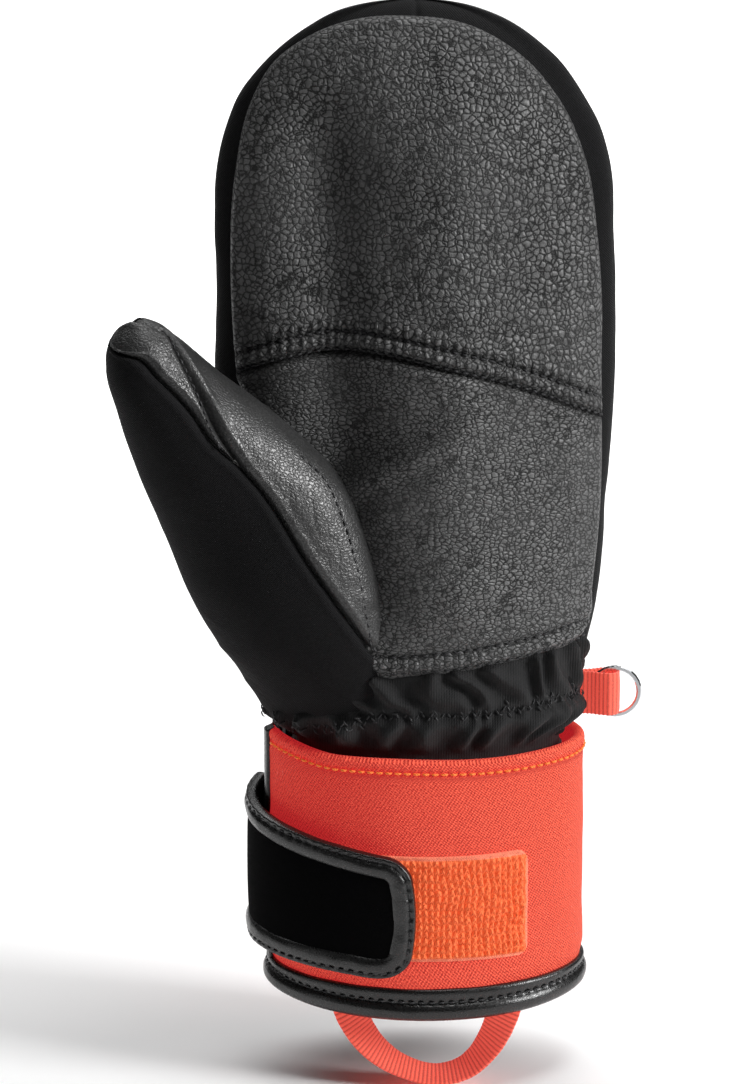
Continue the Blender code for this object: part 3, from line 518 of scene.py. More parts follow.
def grainFolds(x, z, seed, up=1.0):
    # Worn leather: broad waves, mid folds that run mostly up the hand, and fine lines.
    p = stack(x, z * 0, z * up)
    warp = 2.5 * stack(noise(p, 14, seed), 0, noise(p + 40, 14, seed))
    broad = 0.6 * noise(p, 24, seed + 1) + 0.25 * noise((p + warp) * [1, 1, 0.5], 7, seed + 2)
    fine = 0.12 * noise((p + warp) * [1, 1, 0.6], 3.0, seed + 5) + 0.06 * noise(p, 1.5, seed + 6)
    creased = -0.16 * np.clip(ridges((p + 2 * warp) * [1, 1, 0.5], 7, seed + 7) - 0.8, 0, 1) * 5
    return broad + fine + creased * step(0.0, 0.6, noise(p, 20, seed + 9))


def seamBand(x, z, low, width, pitch, arc):
    # Two stitched grooves with a puffed block between each pair of stitches.
    share = (z - low) / width
    inside = np.clip(np.sin(np.pi * np.clip(share, 0, 1)), 0, 1) ** 0.7
    blocks = 0.62 + 0.38 * np.cos(2 * np.pi * arc / pitch)
    rows = np.exp(-((z - low) / 0.7) ** 2) + np.exp(-((z - low - width) / 0.7) ** 2)
    shoulder = np.exp(-((z - low - width - 2.2) / 1.6) ** 2)
    return 0.75 * inside * blocks - 0.75 * rows + 0.3 * shoulder


def leatherPanel(name, low, high, rows, relief, material, bias):
    lift, roll = 1.15, 1.5
    flat = fan(low, high, rows, bias)
    outline = np.concatenate([low, high[::-1]])
    outline = along(np.concatenate([outline, outline[:1]]), 900)
    d = edgeDistance(flat, outline)
    x, z = flat[..., 0], flat[..., 1]
    rise = lift * (1 - np.exp(-(d / roll) ** 1.5)) + 0.5 * np.exp(-((d - 2.2) / 1.2) ** 2)
    rise = rise - 0.7 * np.exp(-(d / 0.5) ** 2)
    out = rise + relief(x, z) * step(0.4, 2.5, d)
    points = palmPoint(x, z) + palmNormal(x, z) * out[..., None]
    return grid(name, points, material)


fingerArch = [(-44.7, 150.6), (-45.4, 160), (-45.8, 169), (-45.9, 179), (-45.5, 190), (-44.4, 199),
              (-41.5, 212), (-35.9, 222), (-26.4, 229), (-16.8, 232.4), (-4.1, 233.3), (8.7, 231.5),
              (21.5, 224.4), (31.2, 213), (37.1, 199), (39.8, 182), (41, 166), (41, 154), (41.2, 140.4)]
bandWidth, bandPitch = 4.1, 2.25
creaseX = np.linspace(-44.7, 41.2, 260)
creaseLine = stack(creaseX, creaseHeight(creaseX) - 0.7)
longFolds = [
    ([(0, 224), (3, 214), (8, 206), (15, 200), (24, 197), (34, 198)], 0.22, 0.45),
    ([(12, 226), (15, 217), (20, 210), (27, 205)], 0.16, 0.4),
    ([(-19, 214), (-17, 202), (-18.5, 192)], 0.16, 0.5),
    ([(39.5, 170), (33, 171.5), (27, 170), (21, 171)], 0.28, 0.55),
    ([(39.5, 163), (32, 163.5), (24, 160.5), (17, 161.5)], 0.28, 0.55),
    ([(39.5, 156), (34, 155), (28, 156), (23, 154.5)], 0.22, 0.5),
    ([(-42, 166), (-37, 164), (-32, 165)], 0.22, 0.5),
]


def fingerRelief(x, z):
    low = creaseHeight(x)
    arc = x * 1.02
    keep = step(low + bandWidth - 1, low + bandWidth + 4, z)
    flat = stack(x, z)
    folds = sum(-depth * groove(flat, line, width) for line, depth, width in longFolds)
    puckers = 0.3 * np.cos(2 * np.pi * arc / bandPitch) * np.exp(-((z - low - bandWidth - 1.2) / 1.6) ** 2)
    return (grainFolds(x, z, 5, 0.9) + folds) * keep + seamBand(x, z, low, bandWidth, bandPitch, arc) + puckers


finger = leatherPanel("fingerPanel", creaseLine, along(fingerArch, 260), 210, fingerRelief, fingerLeather, 1.25)
ride(finger, "mitten", ["palm_finger_panel"])
heelLow = [(-44.4, 148.5), (-40, 139), (-33, 131), (-27, 121), (-21, 109), (-17.5, 96), (-14.5, 84), (-12, 80.8),
           (-4, 80.9), (6, 81.8), (16, 83.1), (26, 84.7), (35.5, 86.2), (38.2, 89), (39.6, 100), (40.9, 114),
           (41.4, 128), (41.2, 139.2)]


def heelRelief(x, z):
    low = heelHeight(x) + 0.6
    keep = step(low + bandWidth - 1, low + bandWidth + 4, z)
    soft = 0.75 * grainFolds(x, z, 21, 1.5)
    slope = (z - 128) - 0.65 * (x + 10) + 1.5 * noise(stack(x, 0, z), 12, 27)
    near = step(24, -4, x)
    soft = soft + near * (1.5 * np.exp(-((slope / 3.4) ** 2)) - 1.2 * np.exp(-(((slope - 8) / 4.6) ** 2))
                          + 0.9 * np.exp(-(((slope + 10) / 4.2) ** 2)))
    pull = 0.35 * np.sin((z - 84 - 0.35 * x) / 3.4 + 1.6 * noise(stack(x, 0, z), 15, 6))
    pull = pull * np.exp(-((x + 16) / 14) ** 2)
    return (soft + pull) * keep + seamBand(x, z, low, bandWidth, 2.5, x)


heel = leatherPanel("heelPanel", along(heelLow, 260), stack(creaseX, creaseHeight(creaseX) - 0.35), 190,
                    heelRelief, heelLeather, 0.85)
ride(heel, "mitten", ["palm_heel_panel"])


def seamThread(name, x, z, pitch):
    path = palmPoint(x, z) + palmNormal(x, z) * 0.75
    made = threads(name, path, palmNormal(x, z), blackThread, pitch, pitch * 0.74, 0.62, 0.5, 0.15)
    return ride(made, "mitten")


rowX = np.linspace(-43.6, 40.6, 240)
seamThread("creaseStitchLow", rowX, creaseHeight(rowX), bandPitch)
seamThread("creaseStitchHigh", rowX, creaseHeight(rowX) + bandWidth, bandPitch)
rowX = np.linspace(-9, 37, 160)
seamThread("heelStitchLow", rowX, heelHeight(rowX) + 0.6, 2.5)
seamThread("heelStitchHigh", rowX, heelHeight(rowX) + 0.6 + bandWidth, 2.5)
print("palm leather made")


# ---- Thumb: an oval along a rising line, cut into panels by two seams on its palm side.

# Outer edge, palm-side edge, half thickness.
thumbRings = [
    ((-36, -2, 66), (-12, -17, 69), 5), ((-41.5, -3, 76), (-10.5, -20.5, 80), 9),
    ((-48.5, -5, 87), (-11, -22, 94), 12.5), ((-55, -8.5, 101), (-14, -22, 109.5), 14.5),
    ((-61.2, -13.5, 116), (-20.5, -21.5, 126), 14.5), ((-66.8, -19, 131), (-33, -22.5, 139.5), 13.5),
    ((-71, -24, 145.5), (-47.5, -25, 151.5), 11.5), ((-72.6, -27.5, 155.5), (-57, -28, 160.5), 8.7),
    ((-71.2, -29, 161.5), (-61.8, -29, 164.3), 5.4), ((-66.8, -29.6, 166.6), (-66.4, -29.6, 166.6), 0.2),
]
outerSeam = [(-84, 164.2), (-73, 162), (-66.4, 159.6), (-61.6, 155.2), (-54.9, 147.8), (-48.3, 138.5),
             (-41.5, 132), (-35.9, 124.6), (-29.1, 112.9), (-20.1, 98.7), (-10.9, 84.5), (-4, 74)]
stripSeam = [(-62.5, 168.5), (-60.2, 164), (-56.6, 158.5), (-51.6, 149.7), (-47, 140.4), (-41.5, 132)]
thumbSteps = np.linspace(0, 1, 220)
thumbKnots = np.array([0, 0.1, 0.22, 0.36, 0.5, 0.64, 0.78, 0.885, 0.955, 1.0])


def thumbPoint(s, t):
    left = smooth(thumbKnots, [r[0] for r in thumbRings], s)
    right = smooth(thumbKnots, [r[1] for r in thumbRings], s)
    thick = smooth(thumbKnots, [r[2] for r in thumbRings], s)
    climb = (smooth(thumbKnots, [r[0] for r in thumbRings], np.minimum(s + 0.01, 1))
             + smooth(thumbKnots, [r[1] for r in thumbRings], np.minimum(s + 0.01, 1)) - left - right)
    climb = np.where(np.linalg.norm(climb, axis=-1, keepdims=True) < 1e-6, [0.3, -0.3, 1.0], climb)
    across = (right - left) / 2
    out = unit(np.cross(across, climb)) * thick[..., None]
    out = np.where(out[..., 1:2] > 0, -out, out)
    return (left + right) / 2 + across * np.cos(t)[..., None] + out * np.sin(t)[..., None]


def seamTurns(seam):
    # Where the seam crosses each oval on the palm side; past its ends it runs off the edge.
    turns = np.linspace(0, np.pi, 240)
    s, t = np.meshgrid(thumbSteps, turns, indexing="ij")
    p = thumbPoint(s, t)
    x, z = np.array(seam)[::-1].T
    crossed = p[..., 0] - smooth(z, x, p[..., 2]) < 0
    first = np.where(crossed.any(axis=1), crossed.argmax(axis=1), len(turns) - 1)
    return np.convolve(np.pad(turns[first], 3, mode="edge"), np.ones(7) / 7, mode="valid")


palmSeam = [(-34, 141), (-31.4, 136), (-24.6, 129), (-20, 119.5), (-16.6, 107.7), (-14.3, 95.7), (-13.1, 86.2),
            (-12, 78.9)]
outerTurns, stripTurns = seamTurns(outerSeam) + step(0.92, 0.97, thumbSteps), seamTurns(stripSeam)
stripTurns = np.minimum(stripTurns, outerTurns)


def thumbSkin(name, fromTurn, toTurn, first, last, cols, material, lift, relief, dips=(1, 1)):
    # Part of the thumb's surface between two turns, rolled down at the marked edges.
    keep = (thumbSteps >= first) & (thumbSteps <= last)
    s = thumbSteps[keep]
    share = np.linspace(0, 1, cols)
    t = fromTurn[keep][:, None] * (1 - share) + toTurn[keep][:, None] * share
    s = np.broadcast_to(s[:, None], t.shape)
    base = thumbPoint(s, t)
    n = gridNormals(base)
    middle = thumbPoint(s, t * 0 + np.pi / 2) + thumbPoint(s, t * 0 - np.pi / 2)
    n = np.where(((base - middle / 2) * n).sum(axis=-1, keepdims=True) < 0, -n, n)
    gap = np.linalg.norm(np.diff(base, axis=1), axis=2)
    walked = np.concatenate([np.zeros((len(base), 1)), np.cumsum(gap, axis=1)], axis=1)
    d = np.full(t.shape, 99.0)
    if dips[0]:
        d = np.minimum(d, walked)
    if dips[1]:
        d = np.minimum(d, walked[:, -1:] - walked)
    rise = lift * (1 - np.exp(-(d / 1.3) ** 1.5)) - 0.9 * np.exp(-(d / 0.6) ** 2)
    rise = rise + 0.35 * np.exp(-((d - 2) ** 2))
    return grid(name, base + n * (rise + relief(base, d))[..., None], material, flip=True)


def clothRelief(p, d):
    slow = 0.7 * noise(p, 19, 31) + 0.35 * noise(p, 9, 32)
    pull = 0.45 * ridges(p * [1, 1, 2.4], 22, 33) * step(112, 80, p[..., 2])
    return slow * 0.8 + pull - 0.1


def thumbRelief(p, d):
    flow = p + 2 * noise(p, 12, 41)[..., None]
    veins = -0.1 * np.clip(ridges(flow * [1.6, 1, 0.5], 9, 42) - 0.7, 0, 1) * 3
    return (0.45 * noise(p, 13, 43) + veins + 0.12 * noise(p, 3, 44)) * step(0.5, 3, d)


full = np.full_like(thumbSteps, 1.0)
thumbBack = thumbSkin("thumbSoftshell", outerTurns, full * (2 * np.pi - 0.55), 0, 1, 190, softshell, 0.7,
                      clothRelief, (1, 0))
ride(thumbBack, "mitten", ["thumb_back_panel"])
palmThumb = thumbSkin("thumbPanel", full * -0.75, stripTurns, 0.02, 1, 150, thumbLeather, 1.0,
                      thumbRelief, (0, 1))
ride(palmThumb, "mitten", ["thumb_palm_panel"])
top = float(thumbSteps[np.argmax(outerTurns - stripTurns > 0.05)])
tipStrip = thumbSkin("thumbTipStrip", stripTurns, outerTurns, top, 1, 60, thumbLeather, 0.9, thumbRelief)
ride(tipStrip, "mitten", ["thumb_tip_strip"])


def thumbStitch(name, turns, inset, first, last, pitch, height):
    keep = (thumbSteps >= first) & (thumbSteps <= last)
    s, t = thumbSteps[keep], turns[keep] - inset
    base, aside = thumbPoint(s, t), thumbPoint(s, t + 0.02)
    run = np.gradient(base, axis=0)
    n = unit(np.cross(run, aside - base))
    n = np.where(n[:, 1:2] > 0, -n, n)
    made = threads(name, base + n * height, n, blackThread, pitch, pitch * 0.74, 0.55, 0.45, 0.12)
    return ride(made, "mitten")


thumbStitch("thumbSeamStitch", np.minimum(seamTurns(palmSeam), outerTurns - 0.05), 0.0, 0.15, 0.6, 2.3, 0.9)
thumbStitch("tipStripStitch", stripTurns, -0.1, top + 0.03, 0.95, 2.1, 0.95)
print("thumb made")


# ---- Gathered wrist: cloth pulled in along the elastic, folds fanning above and below it.

elasticLine = 71.3

def crest(a):
    return (0.5 + 0.5 * np.cos(a)) ** 1.4 * 2 - 0.9


def wristBand():
    turns = np.linspace(0, 2 * np.pi, 620, endpoint=False)
    rows = np.linspace(0, 1, 70)
    v, t = np.meshgrid(rows, turns, indexing="ij")
    x, front = 36.5 * np.cos(t), np.sin(t) < 0
    frontTop = np.where(x > -12, heelHeight(x) + 1.4, smooth([-37, -28, -20, -12], [75.5, 75, 77, 82.5], x))
    high = np.where(front, frontTop * step(0, -0.3, np.sin(t)) + 80 * step(-0.3, 0, np.sin(t)), 80)
    z = 58 + (high - 58) * v
    c, half, palm, back = handSizes(z)
    waist = step(56, 66, z)
    flare = np.exp(-(((z - 68) / 3.2) ** 2))
    half, palm = half + 0.3 * waist + 2.4 * flare, palm + 0.6 * waist + 0.9 * flare
    back = back + 0.8 + 0.6 * flare
    depth = np.where(front, palm, back)
    p = stack(c + half * np.cos(t), depth * np.sin(t), z)
    arc = t * 31
    skew = 1.6 * noise(stack(arc, 0, z * 0), 22, 51) + 1.5 * noise(stack(arc, 0, z), 7, 52)
    phase = 2 * np.pi * (arc + 2.2 * skew) / 8.4
    above, below = step(71.5, 76, z), step(71.0, 66.5, z)
    end = step(0, 2.5, high - z)
    lean = (z - elasticLine) * 0.5
    strong = 1 + 0.7 * step(-8, -24, x) * front
    folds = above * end * crest(phase + lean) * 1.25
    folds = folds + below * strong * crest(phase + np.pi - lean * 0.7) * 1.4
    folds = folds * step(61.5, 65.5, z) - 0.9 * step(65, 61, z)
    pinch = -1.1 * np.exp(-((z - elasticLine) / 1.7) ** 2)
    ruffle = 0.35 * np.exp(-((z - elasticLine) / 3) ** 2) * np.cos(2 * phase)
    tuck = -1.6 * step(2.6, 0.4, high - z)
    fine = 0.16 * noise(p, 2.6, 53)
    out = unit(stack(np.cos(t) / half, np.sin(t) / depth, 0))
    p = p + out * (0.35 + folds + pinch + ruffle + fine + tuck)[..., None]
    return grid("wristGathers", p, twill, wrapCols=True), p, out


wrist, wristPoints, wristOut = wristBand()
ride(wrist, "mitten", ["wrist_palm_panel", "wrist_back_panel"])
row = int(np.argmin(np.abs(wristPoints[:, 465, 2] - elasticLine)))
zigzag = wristPoints[row][::2] + [0, 0, 1] * (1.1 * (np.arange(310) % 4 - 1.5))[:, None]
ride(threads("elasticStitch", zigzag, wristOut[row][::2], blackThread, 1.7, 1.7, 0.42, 0.4, 0.0), "mitten")
print("wrist made")


# ---- Cuff: knit-faced sleeve with a bound slit, hem binding and loop patch.

cuffHalf, cuffDeep, cuffTop = 37.9, 26.5, 64.5
topSeam, topBand, hemSeam, hemBand = 61.3, 59.9, 4.1, 3.85
hingeTurn = math.radians(163)
arcTurns = np.linspace(hingeTurn - np.pi * 0.75, hingeTurn + np.pi * 2, 2400)
arcSteps = np.hypot(np.diff(cuffHalf * np.cos(arcTurns)), np.diff(cuffDeep * np.sin(arcTurns)))
arcLengths = np.concatenate([[0], np.cumsum(arcSteps)])
arcLengths -= np.interp(hingeTurn, arcTurns, arcLengths)


def wrap(a, offset, z):
    # Arc length from the tab's hinge line, distance out from the cuff and height to a point.
    t = np.interp(a, arcLengths, arcTurns)
    x, y = cuffHalf * np.cos(t), cuffDeep * np.sin(t)
    n = unit(stack(cuffDeep * np.cos(t), cuffHalf * np.sin(t), 0))
    return stack(x, y, z) + n * np.asarray(offset)[..., None]


def topDrop(a):
    # The cuff's upper edge stands highest at the slit and lowest on the little-finger side.
    t = np.interp(a, arcLengths, arcTurns)
    return 1.1 + 1.9 * step(-1.0, -0.55, np.cos(t))


def hemSag(a):
    t = np.interp(a, arcLengths, arcTurns)
    return -2.3 * np.clip(-np.sin(t), 0, 1) ** 1.6


slitFront = float(np.interp(np.pi + 0.0755, arcTurns, arcLengths))
slitBack = float(np.interp(3 * np.pi - 0.113, arcTurns, arcLengths))


def cuffSleeve():
    down = np.linspace(1.2, cuffTop - 0.9, 150)
    bend = np.linspace(0, np.pi, 10)
    z = np.concatenate([down, cuffTop - 0.9 + 0.9 * np.sin(bend[1:]), np.linspace(cuffTop - 2, 44, 12)])
    o = np.concatenate([down * 0, -1.3 + 1.3 * np.cos(bend[1:]), np.full(12, -2.6)])
    a = np.linspace(slitFront + 0.8, slitBack - 0.8, 560)
    o, arc = np.meshgrid(o, a, indexing="ij")
    z = np.broadcast_to(z[:, None], arc.shape)
    outer = (o > -0.1) * 1.0
    p = wrap(arc, 0 * arc, z)
    soft = 0.45 * noise(p, 24, 61) + 0.16 * noise(p, 7, 62)
    stitch = -0.5 * np.exp(-((z - topSeam) / 0.75) ** 2) + 0.2 * np.exp(-((z - 63) / 0.9) ** 2)
    dimple = -0.16 * np.exp(-((z - topSeam) / 1.3) ** 2) * np.cos(2 * np.pi * arc / 2.2)
    hemIn = -0.8 * step(10, 5, z)
    wave = 0.7 * noise(stack(arc, 0, 0 * arc), 21, 63) * step(52, 64, z)
    lowered = -topDrop(arc) * step(56, 61.5, z) + hemSag(arc) * step(14, 3, z)
    relief = (soft * step(64, 58, z) + stitch + dimple + hemIn) * outer
    return grid("cuffSleeve", wrap(arc, o + relief, z + wave * 0.8 + lowered), neoprene, uv=stack(arc, z + o))


sleeve = ride(cuffSleeve(), "mitten", ["cuff_sleeve"])
a = np.linspace(slitFront + 4, slitBack - 4, 520)
topLine = wrap(a, 0 * a + 0.1, topSeam - 0.99 * topDrop(a) + 0.52 * noise(stack(a, 0, 0 * a), 21, 63))
topNormals = wrap(a, 0 * a + 1, topBand) - wrap(a, 0 * a, topBand)
ride(threads("cuffTopStitch", topLine, topNormals, orangeThread, 2.2, 1.75, 0.6, 0.5, 0.1), "mitten")

hemProfile = along([(0.0, 5.3), (0.25, 5.2), (0.45, 4.6), (0.3, 4.0), (0.22, 3.7), (0.6, 3.2), (0.95, 2.5),
                    (1.0, 1.6), (0.7, 0.7), (0.0, 0.05), (-1.0, -0.25), (-2.2, -0.1), (-3.0, 0.7), (-3.25, 2),
                    (-3.2, 3.6), (-3.0, 4.8), (-2.4, 5.2), (-1.2, 5.3)], 64, closed=True)
t = np.linspace(0, 2 * np.pi, 520, endpoint=False)
a = np.interp(t + hingeTurn, arcTurns, arcLengths)
k, arc = np.meshgrid(np.arange(64), a, indexing="ij")
o, z = hemProfile[k, 0] * np.where(hemProfile[k, 0] > 0, 1.3, 1), (hemProfile[k, 1] - 2.5) * 1.2 + 2.5
lump = 0.14 * noise(stack(arc * 0.5, o, z), 3.0, 71) + 0.1 * noise(stack(arc, o, z), 9, 72)
pulled = -0.12 * np.exp(-((z - hemSeam) / 0.6) ** 2) * (o > 0) * (1 + np.cos(2 * np.pi * arc / 2.4))
hemPoints = wrap(arc, o + lump + pulled, z + lump * 0.6 + hemSag(arc) * step(7.5, 3.5, z))
hem = grid("hemBinding", hemPoints, trimLeather, wrapRows=True, wrapCols=True, flip=True)
ride(hem, "mitten", ["cuff_hem_binding"])
hemLine = wrap(a, 0 * a + 0.4, hemSeam + 0.97 * hemSag(a))
hemNormals = wrap(a, 0 * a + 1, hemBand) - wrap(a, 0 * a, hemBand)
ride(threads("hemStitch", hemLine, hemNormals, blackThread, 2.4, 1.8, 0.5, 0.4, 0.1), "mitten")

slitProfile = along([(3.5, 0.0), (3.4, 0.6), (2.6, 0.85), (1.2, 0.85), (0.1, 0.7), (-0.55, 0.0), (-0.75, -1.3),
                     (-0.5, -2.6), (0.2, -3.2), (1.4, -3.35), (2.8, -3.3), (3.4, -3.0), (3.5, -2.7)], 40)


def slitBinding(name, edge, sign, node):
    topEnd = cuffTop - 1.2
    z = np.linspace(1.0, topEnd + 0.3, 200)
    k, high = np.meshgrid(np.arange(40), z, indexing="ij")
    o, arc = slitProfile[k, 1], edge + sign * slitProfile[k, 0]
    lump = 0.15 * noise(stack(arc, o, high), 4, 73)
    p = wrap(arc, o * step(topEnd + 0.5, topEnd - 0.6, high) - 1.3 * step(topEnd - 0.6, topEnd + 0.3, high)
             + lump - 0.5 * step(9, 5, high), high)
    return ride(grid(name, p, trimLeather, flip=sign > 0), "mitten", [node])


slitBinding("slitBindingPalmSide", slitFront, 1, "slit_binding_front")
slitBinding("slitBindingBackSide", slitBack, -1, "slit_binding_back")


patchNear, patchFar, patchLow, patchHigh = 24, 84, 11.9, 38.3


def patchInset(a, z):
    return np.minimum(np.minimum(a - patchNear, patchFar - a), np.minimum(z - patchLow, patchHigh - z))


def loopPatch():
    # Warp-knit tape: plump columns of leaning loops, flattened and sealed along the border.
    a, z = np.meshgrid(np.linspace(patchNear, patchFar, 380), np.linspace(patchLow, patchHigh, 170),
                       indexing="ij")
    corner = 3.0
    dx = np.maximum(0, np.maximum(patchNear + corner - a, a - (patchFar - corner)))
    dz = np.maximum(0, np.maximum(patchLow + corner - z, z - (patchHigh - corner)))
    inset = patchInset(a, z)
    inset = np.where((dx > 0) & (dz > 0), corner - np.hypot(dx, dz), inset)
    shrink = np.where(inset < 0, inset, 0)
    turn = np.arctan2(dz, dx)
    a = a + np.sign(54 - a) * np.abs(shrink) * np.cos(turn)
    z = z + np.sign(25 - z) * np.abs(shrink) * np.sin(turn)
    inset = np.maximum(inset, 0)
    shape = stack(a, z, 0 * a)
    bent = a + 0.45 * noise(shape, 5, 81) + 0.25 * noise(shape, 1.7, 85)
    column = np.abs(np.sin(np.pi * bent / 1.45)) ** 0.6
    lean = z + 1.1 * np.abs((bent / 1.45) % 1 - 0.5) * 2 + 0.5 * noise(shape, 3, 86)
    loops = (0.5 + 0.5 * np.cos(2 * np.pi * lean / 1.75)) ** 0.8
    fuzz = 0.42 * noise(shape, 0.9, 82) + 0.35 * noise(shape, 2.2, 83)
    inner = step(0.8, 1.7, inset)
    raised = (0.35 + 1.05 * column * (0.35 + 0.65 * loops) + fuzz) * inner
    rim = (0.55 + 0.18 * noise(shape, 1.6, 84)) * (1 - inner) * step(0, 0.5, inset)
    o = 0.2 + raised + rim - 0.5 * (1 - step(0, 0.3, inset))
    return grid("loopPatch", wrap(a, o, z), loopKnit)


patch = loopPatch()
patch.data.materials.append(loopRim)
centres = np.empty(len(patch.data.polygons) * 3)
patch.data.polygons.foreach_get("center", centres)
centres = centres.reshape(-1, 3) / mm
turns = np.arctan2(centres[:, 1] / cuffDeep, centres[:, 0] / cuffHalf) % (2 * np.pi)
edge = patchInset(np.interp(turns, arcTurns, arcLengths), centres[:, 2])
patch.data.polygons.foreach_set("material_index", (edge < 1.15).astype(np.int32))
ride(patch, "mitten", ["cuff_loop_patch"])
print("cuff made")


# ---- Closure tab: softshell tongue in a rolled leather binding, hinged behind the thumb side.

tabReach, tabRoot, tabEnd = 56.0, (29.8, 18.0), (23.2, 14.5)
bindWide, tabFace = 5.2, 2.25


def tabMiddle(a):
    share = a / tabReach
    return tabRoot[0] + (tabEnd[0] - tabRoot[0]) * share, tabRoot[1] + (tabEnd[1] - tabRoot[1]) * share


def tabOutline(shrink, corner, count):
    # Up the near edge, round the end and back, in arc length and height.
    end = tabReach - shrink
    bottom = [(a, tabMiddle(a)[0] - tabMiddle(a)[1] + shrink) for a in np.linspace(-0.5, end - corner, 8)]
    topEdge = [(a, tabMiddle(a)[0] + tabMiddle(a)[1] - shrink) for a in np.linspace(end - corner, -0.5, 8)]
    low, high = bottom[-1][1], topEdge[0][1]
    b = np.radians([18, 36, 54, 72, 90])
    under = [(end - corner + corner * math.sin(q), low + corner * (1 - math.cos(q))) for q in b]
    over = [(x, high - (y - low)) for x, y in under[::-1]]
    return along(bottom + under + over + topEdge, count)


def tabBinding():
    line = tabOutline(bindWide / 2, 4.6, 520)
    path = stack(line[:, 0], 0 * line[:, 0], line[:, 1])
    profile = along([(2.15, -2.6), (2.75, -2.35), (2.85, -1.75), (2.75, -1.45), (3.15, -0.7), (3.3, 0.4),
                     (3.05, 1.6), (2.35, 2.5), (1.4, 2.7), (0.6, 2.4), (0.1, 1.6), (0, 0), (0.1, -1.8),
                     (0.5, -2.5)], 44, closed=True)
    outward = np.broadcast_to([0.0, 1.0, 0.0], path.shape)
    flat = sweep(path, outward, profile)
    across = np.broadcast_to(profile[None, :, 1], flat.shape[:2])
    gone = np.broadcast_to(np.linspace(0, lengthOf(path), len(path))[:, None], flat.shape[:2])
    flat[..., 1] += 0.16 * noise(flat, 6, 91) + 0.09 * noise(flat, 2.2, 92)
    dents = 0.14 * (1 + np.cos(2 * np.pi * gone / 2.4)) * np.exp(-((across + 1.5) / 0.7) ** 2)
    flat[..., 1] -= dents * (flat[..., 1] > 1)
    inner = path + np.cross(unit(np.gradient(path, axis=0)), outward) * -1.55
    return wrap(flat[..., 0], flat[..., 1] + tabFace, flat[..., 2]), inner


bindingPoints, innerLine = tabBinding()
ride(grid("tabBinding", bindingPoints, trimLeather, wrapCols=True), "closure_tab",
     ["closure_tab_binding"])
a, z = innerLine[:, 0], innerLine[:, 2]
stitchPath = wrap(a, tabFace + 2.62 + 0 * a, z)
stitchNormal = wrap(a, 1 + 0 * a, z) - wrap(a, 0 * a, z)
ride(threads("tabStitch", stitchPath, stitchNormal, blackThread, 2.4, 1.8, 0.5, 0.42, 0.08), "closure_tab")


def tabBody():
    a = np.linspace(-0.4, tabReach - bindWide + 1.2, 150)
    around = np.concatenate([np.linspace(-1, 1, 70), np.linspace(1, -1, 12)[1:-1]])
    k, arc = np.meshgrid(np.arange(len(around)), a, indexing="ij")
    centre, half = tabMiddle(arc)
    z = centre + around[k] * (half - bindWide + 1.4)
    upper = k < 70
    crown = 0.35 * (1 - around[k] ** 4)
    o = np.where(upper, 2.35 + crown + 0.22 * noise(stack(arc, 0, z), 11, 95), 0.6)
    return grid("tabCloth", wrap(arc, tabFace + o, z), tabCloth, wrapRows=True, flip=True)


ride(tabBody(), "closure_tab", ["closure_tab"])


def foldStrip():
    # Flexible root of the tab, from the anchor to just past the hinge line.
    a = np.linspace(-6, 5, 60)
    z = np.linspace(-1, 1, 40)
    k, arc = np.meshgrid(np.arange(80), a, indexing="ij")
    share = np.concatenate([z, z[::-1]])[k]
    centre, half = tabMiddle(np.maximum(arc, 0))
    thick = np.where(k < 40, 1.0, -1.0)
    rise = 1.45 + 1.7 * step(-5, 1.5, arc)
    return grid("tabFold", wrap(arc, rise + thick * 0.55 + 0.1 * noise(stack(arc, 0, share * 16), 5, 96),
                                centre + share * (half - 1.5)), softshell, wrapRows=True, flip=True)


fold = foldStrip()
tuple(wrap(-2.5, 2.2, 29.8) * mm)
tuple(wrap(2.5, 3.2, 29.8) * mm)
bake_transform(fold)
print("tab made")


# ---- Ring webbing and hanging loop.

def strap(name, path, face, width, thick, material, ribs=0.07):
    # A flat tape: face is the direction across its width.
    profile = rounded(width, thick, 36, 0.35)
    p = sweep(path, face, profile)
    gone = np.concatenate([[0], np.cumsum(np.linalg.norm(np.diff(path, axis=0), axis=1))])
    uv = stack(np.broadcast_to(gone[:, None], p.shape[:2]), np.broadcast_to(profile[None, :, 0], p.shape[:2]))
    nrm = gridNormals(p)
    p = p + nrm * (ribs * np.sin(2 * np.pi * uv[..., 0]) + 0.06 * noise(p, 1.6, 97))[..., None]
    return grid(name, p, material, wrapCols=True, uv=uv)


ringZ = 70.9
outline = [(37.0, -0.75), (39.5, -1.3), (42, -2.3), (44, -2.75), (45.4, -1.9), (45.9, 0), (45.4, 1.9),
           (44, 2.75), (42, 2.3), (39.5, 1.3), (37.0, 0.75)]
flatPath = along(outline, 150)
path = stack(flatPath[:, 0], flatPath[:, 1], ringZ + 0 * flatPath[:, 0])
ringTab = strap("ringWebbing", path, np.broadcast_to([0.0, 0.0, 1.0], path.shape), 10.4, 0.85, webbing)
ride(ringTab, "ring_tab", ["ring_tab"])

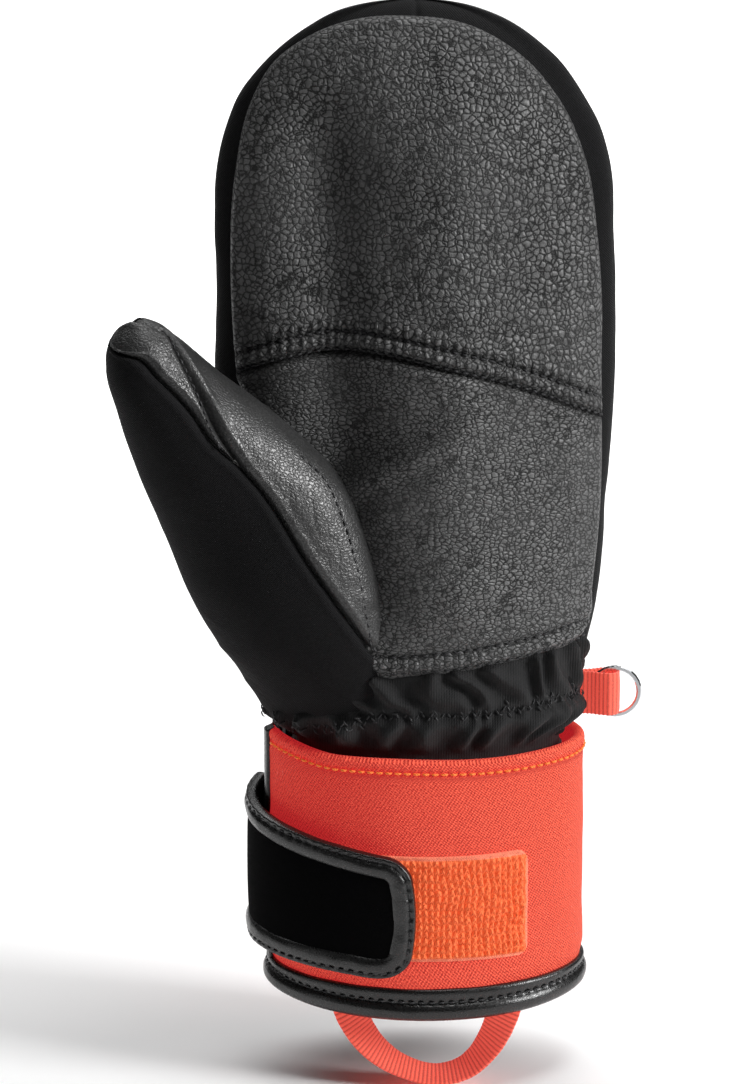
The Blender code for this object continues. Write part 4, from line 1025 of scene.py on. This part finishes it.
loopY, loopTop = -19.0, -0.9
line = along([(-18.6, loopTop + 2.2), (-18.5, loopTop), (-16.2, -6.6), (-11.4, -13), (-4.5, -17.4), (3.0, -19.1),
              (9.6, -17.2), (14.6, -12), (17.8, -5.5), (19.2, loopTop), (19.4, loopTop + 2.2)], 260)
path = stack(line[:, 0], loopY, line[:, 1])
run = unit(np.gradient(path, axis=0))
share = np.linspace(0, 1, len(path))
turn = np.radians(10 + 62 * np.sin(np.pi * share) ** 1.3)
flatWay = stack(-run[:, 2], 0, run[:, 0])
wide = flatWay * np.cos(turn)[:, None] + np.array([0, 1.0, 0]) * np.sin(turn)[:, None]
hangLoop = strap("hangLoop", path, wide, 7.8, 0.9, webbing, 0.03)
ride(hangLoop, "hang_loop", ["hang_loop"])
print("webbing made")


# ---- Wadding under the leather, and finishes for the CAD nodes that stay.

def innerLayer(name, low, high, front, back, material):
    flat = fan(low, high, 60)
    x, z = flat[..., 0], flat[..., 1]
    n = palmNormal(x, z)
    soft = 0.2 * noise(stack(x, 0, z), 4, 99)
    face = palmPoint(x, z) - n * (front - soft)[..., None]
    rear = palmPoint(x, z) - n * back
    points = np.concatenate([face, rear[:, ::-1]], axis=1)
    return grid(name, points, material, wrapCols=True)


waddingLow = [(-33, 146), (-28, 125), (-20, 108), (-14, 90), (-8, 84), (14, 86), (33, 90), (36, 110), (37, 140)]
waddingHigh = [(-37, 146), (-39, 170), (-38, 195), (-31, 214), (-15, 224), (4, 224), (20, 216), (30, 200),
               (35, 180), (37, 141)]
inner = innerLayer("palmWadding", along(waddingLow, 90), along(waddingHigh, 90), 1.9, 4.0, wadding)
ride(inner, "mitten", ["palm_insulation"])

keep = {"thumb_insulation": wadding, "back_insulation": wadding, "hand_lining": lining, "thumb_lining": lining,
        "wrist_elastic": elastic, "cuff_gusset": tabCloth, "cuff_lining": lining, "tab_anchor": softshell,
        "closure_hook_patch": hookPlastic, "steel_ring": steel}
for name, material in keep.items():
    node = nodes[name]
    node.data.materials.clear()
    node.data.materials.append(material)
    node.data.polygons.foreach_set("use_smooth", [True] * len(node.data.polygons))


# ---- Floor and light.

def softBox(name, at, target, size, power, spread):
    data = bpy.data.lights.new(name, "AREA")
    data.shape, data.size, data.size_y = "RECTANGLE", size[0], size[1]
    data.energy, data.spread = power, math.radians(spread)
    made = bpy.data.objects.new(name, data)
    bpy.context.scene.collection.objects.link(made)
    made.location = at
    made.rotation_euler = (mathutils.Vector(target) - mathutils.Vector(at)).to_track_quat("-Z", "Y").to_euler()


def backdrop():
    # A floor that curves up into a wall.
    floorZ, farEnd, radius, side = -0.0215, 2.8, 0.6, 3.5
    bend = np.linspace(0, np.pi / 2, 24)
    y = np.concatenate([[-side], farEnd + radius * np.sin(bend), [farEnd + radius]])
    z = np.concatenate([[floorZ], floorZ + radius * (1 - np.cos(bend)), [3.0]])
    points = stack(np.array([-side, side])[None, :], y[:, None], z[:, None]) / mm
    return grid("studioSweep", points, blank("paleSweep", (0.96, 0.96, 0.96), 0.9, 0.1)[0], flip=True)


backdrop()
middle = (-0.01, 0.0, 0.11)
softBox("keyLight", (0.88, -0.37, 0.5), middle, (0.3, 0.5), 1.9, 70)
softBox("fillLight", (-0.85, -0.45, 0.3), middle, (0.3, 0.8), 0.07, 70)
softBox("topLight", (0.15, -0.15, 0.95), middle, (0.5, 0.3), 0.4, 70)
softBox("floorLight", (0.0, 1.15, 1.25), (0.0, 1.35, 0.0), (2.2, 1.6), 34, 120)
world = bpy.data.worlds.new("studio")
bpy.context.scene.world = world
bpy.context.scene.view_settings.view_transform = "Standard"
world.use_nodes = True
world.node_tree.nodes["Background"].inputs["Color"].default_value = (1, 1, 1, 1)
world.node_tree.nodes["Background"].inputs["Strength"].default_value = 0.03

print("scene made")
